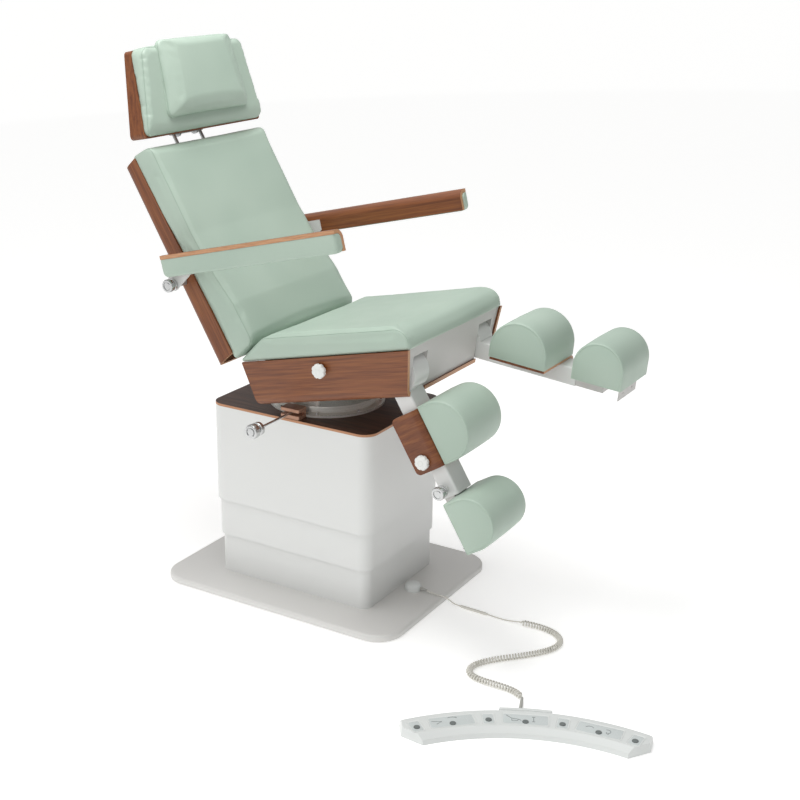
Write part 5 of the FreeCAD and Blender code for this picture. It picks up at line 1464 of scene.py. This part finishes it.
@dataclass
class Armrest:
    """One armrest: its bent board stays, its pad and clamp knob are made here."""

    shop: Workshop
    side: Side
    outer: float = -391.4
    inner: float = -362.6
    front: float = -662.2
    rear: float = -3.2
    bottom: float = 27.0
    top: float = 83.5
    end_round: float = 17.0
    flange_round: float = 16.0
    edge_round: float = 10.0
    stations: int = 24          # how often the long pad is cut across, so that its face can swell
    swell: float = 0.9
    unevenness: float = 0.5
    unevenness_size: float = 50.0
    board_middle: float = -335.0
    knob_face: float = 350.3
    knob_radius: float = 21.0
    knob_length: float = 30.0

    def pad(self) -> BMesh:
        """The pad in the corner under the board's flange, in the armrest's frame.

        Returns:
            The pad.
        """
        bm = box(mm(self.outer, self.front, self.bottom), mm(self.inner, self.rear, self.top))
        just_out, just_in = (self.outer + 1) * MM, (self.inner - 1) * MM
        just_under, just_over = (self.top - 1) * MM, (self.bottom + 1) * MM
        round_edges(bm, lambda edge: runs_along(edge, 0) and middle(edge).z < just_over,
                    self.end_round * MM, 7)
        round_edges(bm, lambda edge: runs_along(edge, 1) and middle(edge).x > just_in
                    and middle(edge).z > just_under, self.flange_round * MM)
        round_edges(bm, lambda edge: middle(edge).x < just_out and middle(edge).z < just_under,
                    self.edge_round * MM, 5)
        for index in range(1, self.stations):
            y = self.front + (self.rear - self.front) * index / self.stations
            slice_at(bm, mm(0, y, 0), (0, 1, 0))
        for z in (44.0, 55.0, 66.0):
            slice_at(bm, mm(0, 0, z), (0, 0, 1))
        for vert in bm.verts:
            off_centre = abs(vert.co.z / MM - 55.0)
            if vert.co.x < (self.outer + 2) * MM and off_centre < 25.0:
                crown = 1 - off_centre / 30.0
                drift = noise.noise(vert.co / (self.unevenness_size * MM))
                vert.co.x -= (self.swell * crown + self.unevenness * drift) * MM
        return bm

    def build(self) -> None:
        """Builds the pad and the knob and dresses the rest."""
        shop, palette, word, sign = self.shop, self.shop.palette, self.side.word, self.side.value
        place = ARM
        if self.side is Side.LEFT:
            centre = Matrix.Translation(mm(0, self.board_middle, 0))
            place = ARM @ centre @ Matrix.Rotation(math.pi, 4, "Z") @ centre.inverted()
        pad = shop.piece(self.pad(), f"arm_cushion_{word}", palette.fabric, f"arm_{word}", "upholstery",
                         place, [f"arm_pad_{word}"])
        shop.dress(palette.arm_ply[self.side], f"arm_board_{word}")
        shop.dress(palette.lacquer, f"arm_bracket_{word}")
        shop.piece(turned_knob(self.knob_radius, self.knob_length), f"arm_clamp_knob_{word}", palette.chrome,
                   f"arm_knob_{word}", "chrome", facing((sign, 0, 0), ARM @ mm(sign * self.knob_face, 0, 0)),
                   [f"arm_knob_{word}"])


# Leg rests


@dataclass
class LegRest:
    """One leg rest: tube, calf pad on its bent board, foot pad on its slide, and the knobs."""

    shop: Workshop
    side: Side
    calf_reach: tuple[float, float] = (53.0, -163.0)        # the calf pad's ends, outward
    calf_length: float = 190.0
    calf_base: float = 20.8
    calf_rise: float = 127.5
    foot_middle: float = 12.0
    foot_half: float = 108.0
    foot_start: float = 400.0
    foot_length: float = 164.0
    foot_base: float = -1.9
    foot_rise: float = 130.5
    piping: float = 4.5
    stations: int = 9           # how often a pad is cut across, so that it can swell
    swell: float = 1.6
    unevenness: float = 0.8
    unevenness_size: float = 60.0
    calf_knob: tuple[float, float, float] = (62.3, -155.5, -38.0)   # from the calf pad's start
    plunger_knob: tuple[float, float, float] = (58.3, -370.0, -25.5)
    knob_radius: float = 21.0
    knob_length: float = 30.0

    @property
    def calf_start(self) -> float:
        """Distance from the hinge to the calf pad, in millimetres."""
        return 112.0 if self.side is Side.RIGHT else 150.0

    def roll(self, ends: tuple[float, float], start: float, length: float, base: float, rise: float) -> BMesh:
        """A pad of D-shaped section, flat below, that bulges a little between its end panels.

        Args:
            ends: Where it ends on either side, in millimetres.
            start: Distance from the hinge.
            length: Size along the leg.
            base: Height of its flat side.
            rise: Height of the pad.

        Returns:
            The pad in the leg's frame.
        """
        low, high = sorted(ends)
        bm = outline_prism([mm(-start - length, base), mm(-start, base), mm(-start, base + rise),
                            mm(-start - length, base + rise)], low * MM, high * MM, "X")
        round_edges(bm, lambda edge: runs_along(edge, 0) and middle(edge).z > (base + rise - 1) * MM,
                    (length / 2 - 0.3) * MM, 20)
        seams = {edge for face in self.end_panels(bm) for edge in face.edges
                 if middle(edge).z > (base + 1) * MM}
        round_edges(bm, lambda edge: edge in seams, self.piping * MM, 3)
        for face in self.end_panels(bm):
            bmesh.ops.inset_region(bm, faces=[face], thickness=2.0 * MM, depth=-1.0 * MM)
            bmesh.ops.inset_region(bm, faces=[face], thickness=2.5 * MM, depth=1.2 * MM)
        for index in range(1, self.stations):
            slice_at(bm, mm(low + (high - low) * index / self.stations, 0, 0), (1, 0, 0))
        centre = mm((low + high) / 2, -start - length / 2, base + rise / 2)
        half = (high - low) / 2 * MM
        for vert in bm.verts:
            across = (vert.co.x - centre.x) / half
            if abs(across) < 0.93 and vert.co.z > (base + 2) * MM:
                out = Vector((0, vert.co.y - centre.y, vert.co.z - centre.z)).normalized()
                drift = noise.noise(vert.co / (self.unevenness_size * MM))
                vert.co += out * ((self.swell * (1 - across * across) + self.unevenness * drift) * MM)
        return bm

    @staticmethod
    def end_panels(bm: BMesh) -> list[BMFace]:
        """A pad's flat end faces."""
        return [face for face in bm.faces if abs(face.normal.x) > 0.99]

    def cushion(self, bm: BMesh, part: str) -> None:
        """Finishes a roll as the calf's or the foot's padded piece.

        Args:
            bm: The roll in the leg's frame.
            part: "calf" or "foot".
        """
        word = self.side.word
        made = self.shop.piece(bm, f"{part}_roll_{word}", self.shop.palette.fabric, f"{part}_{word}",
                               "upholstery", leg_place(self.side), [f"{part}_pad_{word}"])

    def build(self) -> None:
        """Builds the pads and knobs and dresses the rest."""
        shop, palette, word, sign = self.shop, self.shop.palette, self.side.word, self.side.value
        ends = (sign * self.calf_reach[0], sign * self.calf_reach[1])
        calf = self.roll(ends, self.calf_start, self.calf_length, self.calf_base, self.calf_rise)
        self.cushion(calf, "calf")
        ends = (sign * self.foot_middle - self.foot_half, sign * self.foot_middle + self.foot_half)
        foot = self.roll(ends, self.foot_start, self.foot_length, self.foot_base, self.foot_rise)
        self.cushion(foot, "foot")
        shop.dress(palette.lacquer, f"leg_tube_{word}")
        shop.dress(palette.calf_ply[self.side], f"calf_shell_{word}")
        shop.dress(palette.front, f"foot_slide_{word}")
        place = leg_place(self.side)
        x, y, z = self.calf_knob
        shop.piece(hand_knob(), f"calf_hand_knob_{word}", palette.knob, f"calf_knob_{word}", "knob_white",
                   facing((sign, 0, 0), place @ mm(sign * x, y - self.calf_start, z)), [f"calf_knob_{word}"])
        x, y, z = self.plunger_knob
        shop.piece(turned_knob(self.knob_radius, self.knob_length), f"plunger_knob_{word}", palette.chrome,
                   f"plunger_{word}", "chrome", facing((sign, 0, 0), place @ mm(sign * x, y, z)),
                   [f"index_plunger_{word}"])


# Foot control


class Picture(Enum):
    """What the overlay beside a button shows: strokes in millimetres, across to the right and up the tile."""

    TILT = (((-56, 6), (-28, 2), (-44, -9)), ((-8, 16), (0, 19), (9, 18), (17, 13)),
            ((11, 17), (17, 13), (16, 18)))
    LIFT = (((-54, 17), (-38, 2), (-16, -2), (-12, -8)), ((-38, 2), (-38, -9), (-22, -9), (-20, -2)),
            ((18, 13), (27, 13)), ((22.5, 13), (22.5, -10)), ((18, -10), (27, -10)))
    LEGS = (((-40, 2), (-33, 8), (-24, 8), (-18, 4)), ((16, 9), (26, 9), (30, 3), (30, -3), (25, -8)),
            ((20, -2), (20, -9), (28, -12)))


@dataclass
class FootControl:
    """The arched housing with its framed overlays, buttons and cord."""

    shop: Workshop
    centre: tuple[float, float] = (-1144.0, -1295.0)
    outer: float = 742.0
    inner: float = 628.0
    tall: float = 29.6
    middle_angle: float = 25.3
    half_angle: float = 29.4
    tip_share: float = 0.55     # of the depth, from the inner edge, at which the blunt ends come to a point
    back_cut: float = 1.3       # degrees by which the outer corner lies behind the tip
    front_cut: float = 3.4
    undercut: float = 0.16
    edge_round: float = 4.0
    lip_half_angle: float = 5.8
    lip_round: float = 1.4
    spacing: float = 8.65       # degrees from button to button
    buttons: int = 7
    rings: tuple[float, float] = (676.0, 669.0)     # where single and pictured buttons stand
    tile_middle: float = 682.0
    tile_reach: float = 23.0
    tile_half: float = 15.0
    pictured_half: float = 62.0
    tile_top: float = 28.7
    frame_width: float = 4.5
    frame_rim: float = 2.6
    frame_top: float = 29.2
    frame_low: float = 28.0
    stroke_radius: float = 0.9

    @property
    def hub(self) -> Vector:
        """The arc's centre in metres."""
        return mm(*self.centre, 0)

    def spot(self, radius: float, degrees: float, height: float) -> Vector:
        """A point on the arc, sizes in millimetres."""
        angle = math.radians(degrees)
        return self.hub + mm(radius * math.cos(angle), radius * math.sin(angle), height)

    def arc(self, section: Sequence[Point], half_angle: float, steps: int) -> BMesh:
        """Spins a section of (radius, height) along the arc, as far to either side in degrees.

        Args:
            section: Its corners in millimetres.
            half_angle: How far it goes to either side of the middle.
            steps: Faces along the arc.

        Returns:
            The closed arc.
        """
        bm = bmesh.new()
        first = self.middle_angle - half_angle
        face = bm.faces.new([bm.verts.new(self.spot(radius, first, height)) for radius, height in section])
        bmesh.ops.spin(bm, geom=[face], cent=self.hub, axis=(0, 0, 1), angle=math.radians(2 * half_angle),
                       steps=steps)
        close_up(bm)
        return bm

    def housing(self) -> BMesh:
        """The housing: an arc whose ends come to a blunt point, its edges soft.

        Returns:
            The housing.
        """
        tall, outer, inner = self.tall, self.outer, self.inner
        bm = self.arc([(inner, 0.3), (outer, 0.3), (outer, 15.0), (outer - 16, tall - 1.4),
                       (inner + 20, tall - 1.4), (inner + 4, 14.0)], self.half_angle, 44)
        tip_radius = inner + self.tip_share * (outer - inner)
        for sign in (-1, 1):
            tip_angle = self.middle_angle + sign * self.half_angle
            tip = self.spot(tip_radius, tip_angle, 0)
            along = self.spot(tip_radius, tip_angle + sign, 0) - tip
            for radius, back in ((outer, self.back_cut), (inner, self.front_cut)):
                corner = self.spot(radius, tip_angle - sign * back, 0)
                across = (corner - tip).cross(Vector((0, 0, 1))).normalized()
                across *= 1 if across.dot(along) > 0 else -1
                slice_at(bm, tip, (across + Vector((0, 0, self.undercut))).normalized(), drop_outer=True)
        bmesh.ops.recalc_face_normals(bm, faces=bm.faces)
        round_edges(bm, lambda edge: middle(edge).z > 2 * MM and bends(edge, 18), self.edge_round * MM, 5)
        return bm

    def rear_lip(self) -> BMesh:
        """The raised lip in the middle of the rear edge, where the cord goes in.

        Returns:
            The lip.
        """
        outer = self.outer
        bm = self.arc([(outer - 14.5, 20), (outer, 14), (outer, 24), (outer - 3, 30), (outer - 13, 30)],
                      self.lip_half_angle, 12)
        round_edges(bm, lambda edge: bends(edge, 18), self.lip_round * MM, 3)
        return bm

    def tile(self, half: float, margin: float, low: float, high: float) -> BMesh:
        """A flat rounded plate on the housing, sizes in millimetres.

        Args:
            half: Half its size along the arc, without the margin.
            margin: What it gains on every side.
            low: Height of its underside.
            high: Height of its top.

        Returns:
            The plate.
        """
        reach = self.tile_reach + margin
        bm = box(mm(-reach, -half - margin, low), mm(reach, half + margin, high))
        round_edges(bm, lambda edge: runs_along(edge, 2), 5 * MM, 5)
        round_edges(bm, lambda edge: middle(edge).z > (high - 0.1) * MM and not runs_along(edge, 2),
                    min(0.5, (high - low) * 0.6) * MM, 3)
        return bm

    def frame(self, half: float) -> BMesh:
        """The raised frame round an overlay.

        Args:
            half: Half the overlay's size along the arc.

        Returns:
            The frame, with its middle sunk.
        """
        bm = self.tile(half, self.frame_width, 27.6, self.frame_top)
        top = [item for item in bm.faces if item.normal.z > 0.99]
        rim = bmesh.ops.inset_region(bm, faces=top, thickness=self.frame_rim * MM, depth=0)["faces"]
        sunk = [item for item in bm.faces if item.normal.z > 0.99 and item not in rim]
        bmesh.ops.translate(bm, vec=mm(0, 0, self.frame_low - self.frame_top),
                            verts=list({vert for item in sunk for vert in item.verts}))
        return bm

    def build(self) -> None:
        """Builds the housing, its overlays, pictures and buttons."""
        shop, palette = self.shop, self.shop.palette
        shop.piece(self.housing(), "control_housing", palette.housing, "base", "control",
                   nodes=["foot_control"])
        shop.piece(self.rear_lip(), "control_lip", palette.housing, "base", "control")
        pictures = {1: Picture.TILT, 3: Picture.LIFT, 5: Picture.LEGS}
        for index in range(self.buttons):
            degrees = self.middle_angle + ((self.buttons - 1) / 2 - index) * self.spacing
            place = Matrix.Translation(self.hub) @ Matrix.Rotation(math.radians(degrees), 4, "Z")
            at = place @ Matrix.Translation(mm(self.tile_middle, 0, 0))
            half = self.pictured_half if index in pictures else self.tile_half
            name = f"overlay_{index + 1}"
            shop.piece(self.frame(half), f"overlay_frame_{index + 1}", palette.housing, "base", "control", at)
            shop.piece(self.tile(half, 0, 27.9, self.tile_top), name, palette.tile, "base", "control", at)
            if index in pictures:
                self.draw(pictures[index], f"{name}_picture", at)
            cap = lathe([(0, 23.5), (9, 23.5), (9, 30.2), (8.4, 31.1), (7, 31.5), (0, 31.7)], 36)
            name = f"foot_button_{index + 1}"
            shop.piece(cap, f"{name}_cap", palette.button, name, "button",
                       place @ Matrix.Translation(mm(self.rings[index % 2], 0, 0)), [name])

    def draw(self, picture: Picture, name: str, place: Matrix) -> None:
        """Prints a picture's strokes on a tile as fine raised lines.

        Args:
            picture: What is shown.
            name: How its strokes' names start.
            place: From the tile's frame to the chair's.
        """
        for number, stroke in enumerate(picture.value):
            points = [mm(up, -across, self.tile_top + 0.15) for across, up in stroke]
            self.shop.strand(points, self.stroke_radius * MM, f"{name}_{number + 1}",
                             self.shop.palette.print, "base", "control", place)


@dataclass
class Cable:
    """The cable over the plate, its sleeve, and the curly cord up to the foot control."""

    shop: Workshop
    cable_radius: float = 2.5
    wire_radius: float = 2.7
    coil_radius: float = 7.4
    curls: int = 80
    curl_points: int = 12
    over_plate: tuple[Point, ...] = (
        (0, -366, 33), (0, -388, 32), (-2, -410, 29.5), (-3, -436, 29.5), (-4, -458, 30), (-3, -476, 23),
        (1, -491, 11), (8, -510, 5.5), (7, -545, 5.5), (5, -580, 5.5), (4, -612, 5.5), (2.5, -640, 4.5),
        (2, -668, 4), (3, -697, 5.5), (5, -725, 10.2))
    coil: tuple[Point, ...] = (
        (5, -725, 10.2), (7, -745, 10.2), (10, -780, 10.2), (8, -820, 10.2), (-4, -856, 10.2),
        (-28, -884, 10.2), (-64, -896, 10.2), (-104, -886, 10.2), (-142, -862, 10.2), (-178, -832, 10.2),
        (-212, -800, 10.2), (-246, -768, 10.2), (-284, -740, 10.2), (-322, -726, 10.2), (-356, -734, 10.2),
        (-374, -762, 10.2), (-378, -800, 10.2), (-377, -840, 10.2), (-378, -880, 10.2), (-386, -912, 10.2),
        (-402, -933, 10.2))
    sleeve_start: Point = (8, -510, 5.5)
    sleeve_end: Point = (4, -612, 5.5)
    dome: Point = (0, -338, 0)
    nose: Point = (0, -360, 33)
    guard: Point = (-484.4, -966.2, 10.2)

    def route(self, points: Sequence[Point]) -> list[Vector]:
        """Reads a route's smooth line back as points.

        Args:
            points: The route in millimetres.

        Returns:
            Points along the smooth line, in metres.
        """
        line = [mm(*point) for point in points]
        strand = tube(line, 0.0, "route", self.shop.palette.cord, "NURBS", along=24)
        spots = [vert.co.copy() for vert in shown_mesh(strand).vertices]
        bpy.data.objects.remove(strand)
        return spots

    def helix(self) -> list[Vector]:
        """The curly cord's line, wound round its route, with straight ends.

        Returns:
            The line's points in metres.
        """
        spots = self.route(self.coil)
        run = [0.0]
        for start, end in zip(spots, spots[1:]):
            run.append(run[-1] + (end - start).length)
        lead = 2 * self.wire_radius * MM
        usable = run[-1] - 2 * lead
        count = self.curls * self.curl_points
        up = Vector((0, 0, 1))
        line = [spots[0].copy()]
        cursor = 0
        # The smooth line runs inside its few points by this share, so they lie further out
        grow = (3 + math.cos(2 * math.pi / self.curl_points)) / 4
        for step in range(count + 1):
            distance = lead + usable * step / count
            while cursor < len(run) - 2 and run[cursor + 1] < distance:
                cursor += 1
            start, end = spots[cursor], spots[cursor + 1]
            centre = start.lerp(end, (distance - run[cursor]) / max(1e-9, run[cursor + 1] - run[cursor]))
            across = (end - start).normalized().cross(up).normalized()
            angle = 2 * math.pi * step / self.curl_points - math.pi / 2
            wrap = min(1.0, step / self.curl_points, (count - step) / self.curl_points)
            radius = self.coil_radius * MM / grow * wrap
            line.append(centre + across * (math.cos(angle) * radius) + up * (math.sin(angle) * radius))
        line.append(spots[-1].copy())
        return line

    @staticmethod
    def length_of(curve: Object) -> float:
        """The length of a curve's one spline."""
        return curve.data.splines[0].calc_length()

    def build(self) -> None:
        """Builds the cable, the sleeve, the curly cord and the guards."""
        shop, palette = self.shop, self.shop.palette
        cable = tube([mm(*point) for point in self.over_plate], self.cable_radius * MM, "control_lead",
                     palette.cord, "NURBS")
        shop.settle(cable, "base", "cable", nodes=["control_cable"])
        start, end = mm(*self.sleeve_start), mm(*self.sleeve_end)
        profile = [(0, 0), (3.2, 0), (4.6, 6), (5, 12), (5, 92), (4.6, 98), (3.2, 103), (0, 103)]
        sleeve = shop.piece(lathe(profile, 24), "lead_sleeve", palette.cord, "base", "cable",
                            facing((end - start).normalized(), start), ["cable_sleeve"])
        line = self.helix()
        curly = tube(line, self.wire_radius * MM, "curly_lead", palette.cord, "NURBS", ring=2, along=3)
        shop.settle(curly, "base", "cable", nodes=["curly_cord"])
        self.build_guards()

    def build_guards(self) -> None:
        """Builds the dome on the plate and the guards at both ends of the cord."""
        shop, palette = self.shop, self.shop.palette
        dome = lathe([(0, 25), (28, 25), (28, 34), (26, 41), (21, 46), (12, 49), (0, 49.5)])
        shop.piece(dome, "cable_dome", palette.housing, "base", "control", Matrix.Translation(mm(*self.dome)))
        nose = lathe([(0, 0), (5.4, 0), (5.2, 14), (3.4, 30), (0, 30)], 24)
        shop.piece(nose, "dome_guard", palette.gland, "base", "control", facing((0, -1, 0), mm(*self.nose)),
                   ["cable_boss"])
        guard = lathe([(0, 0), (6.5, 0), (6.5, 8), (5.6, 10), (4.9, 60), (4.0, 88), (0, 88)], 24)
        first, last = mm(*self.guard), mm(*self.coil[-1])
        shop.piece(guard, "control_guard", palette.gland, "base", "control",
                   facing((last - first).normalized(), first))


# Room


@dataclass
class Studio:
    """The pale floor, the soft lights and the camera. Places are in metres, angles in degrees."""

    focal: float = 1383.0       # in pixels of a picture of this width
    picture: float = 800.0
    yaw: float = -59.62
    pitch: float = 19.058
    roll: float = 0.85
    place: tuple[float, float, float] = (-3.583, -2.377, 2.109)
    floor_radius: float = 70.0
    floor_light: float = 0.32
    soft_from: tuple[float, float, float] = (-0.62, 0.36, 0.7)      # where most of the soft light comes from

    def camera(self) -> None:
        """Places the camera where the photograph was taken from."""
        data = bpy.data.cameras.new("camera")
        data.sensor_width = 36.0
        data.lens = self.focal / self.picture * data.sensor_width
        data.clip_end = 160.0
        camera = stand("camera", data)
        yaw, pitch = math.radians(self.yaw), math.radians(self.pitch)
        back = Vector((math.sin(yaw) * math.cos(pitch), -math.cos(yaw) * math.cos(pitch), math.sin(pitch)))
        level = (-back).to_track_quat("-Z", "Y").to_matrix().to_4x4()
        camera.matrix_world = (Matrix.Translation(Vector(self.place)) @ level
                               @ Matrix.Rotation(math.radians(self.roll), 4, "Z"))
        bpy.context.scene.camera = camera

    @staticmethod
    def lamp(name: str, place: Point, aim: Point, size: float, power: float) -> None:
        """Adds a soft lamp.

        Args:
            name: Its name.
            place: Where it stands, in metres.
            aim: What it points at.
            size: Side of its square, in metres.
            power: Power in watts.
        """
        data = bpy.data.lights.new(name, "AREA")
        data.size = size
        data.energy = power
        lamp = stand(name, data)
        lamp.location = place
        lamp.rotation_euler = (Vector(aim) - Vector(place)).to_track_quat("-Z", "Y").to_euler()

    def room(self) -> None:
        """Lays the floor and lights the room."""
        paint, _, shader = Finish("pale studio floor", "#F7F7F6", 0.7).start()
        shader.inputs["Emission Color"].default_value = linear("#FFFFFF")
        shader.inputs["Emission Strength"].default_value = self.floor_light
        bm = bmesh.new()
        bmesh.ops.create_circle(bm, cap_ends=True, segments=64, radius=self.floor_radius)
        mesh = bpy.data.meshes.new("floor")
        bm.to_mesh(mesh)
        bm.free()
        mesh.materials.append(paint)
        floor = stand("floor", mesh)
        self.sky()
        self.lamp("key", (-0.4, 0.0, 3.3), (0, 0, 0.9), 1.2, 34.0)
        self.lamp("top", (0.3, 0.2, 4.6), (0, 0, 0.6), 2.6, 10.0)

    def sky(self) -> None:
        """Lights the room: bright from above and one side, white to look at, darker low down in chrome."""
        world = bpy.data.worlds.new("studio")
        world.use_nodes = True
        tree = world.node_tree
        tree.nodes.clear()
        path = add_node(tree, "ShaderNodeLightPath")
        incoming = add_node(tree, "ShaderNodeNewGeometry").outputs["Incoming"]
        height = add_node(tree, "ShaderNodeSeparateXYZ", links={0: incoming}).outputs[2]
        lean = add_node(tree, "ShaderNodeVectorMath", {"operation": "DOT_PRODUCT", 1: self.soft_from},
                        {0: incoming}).outputs["Value"]
        soft, gloss = [
            add_node(tree, "ShaderNodeMapRange", {
                "From Min": start, "From Max": end, "To Min": low, "To Max": 1.1}, {0: value}).outputs[0]
            for value, start, end, low in ((lean, 0.35, -1.0, 0.0), (height, 0.0, -0.8, 0.22))]
        seen = add_node(tree, "ShaderNodeMix", {2: 1.0}, {0: path.outputs["Is Diffuse Ray"], 3: soft})
        light = add_node(tree, "ShaderNodeMix", {},
                         {0: path.outputs["Is Glossy Ray"], 2: seen.outputs[0], 3: gloss})
        white = add_node(tree, "ShaderNodeBackground", {"Color": linear("#FFFFFF")},
                         {"Strength": light.outputs[0]})
        add_node(tree, "ShaderNodeOutputWorld", links={"Surface": white.outputs[0]})
        bpy.context.scene.world = world


def main() -> None:
    """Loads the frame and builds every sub-assembly in order."""
    logging.basicConfig(level=logging.INFO)
    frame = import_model()
    bpy.context.scene.view_settings.view_transform = "Standard"
    studio = Studio()
    studio.camera()
    shop = Workshop(frame, Palette())
    sewing = Upholstery(shop)
    for part in (Cable(shop), FootControl(shop), Column(shop), Brake(shop), Seat(shop, sewing),
                 Back(shop, sewing), Head(shop, sewing)):
        part.build()
    for side in Side:
        Armrest(shop, side).build()
        LegRest(shop, side).build()
    studio.room()


if __name__ == "__main__":
    main()
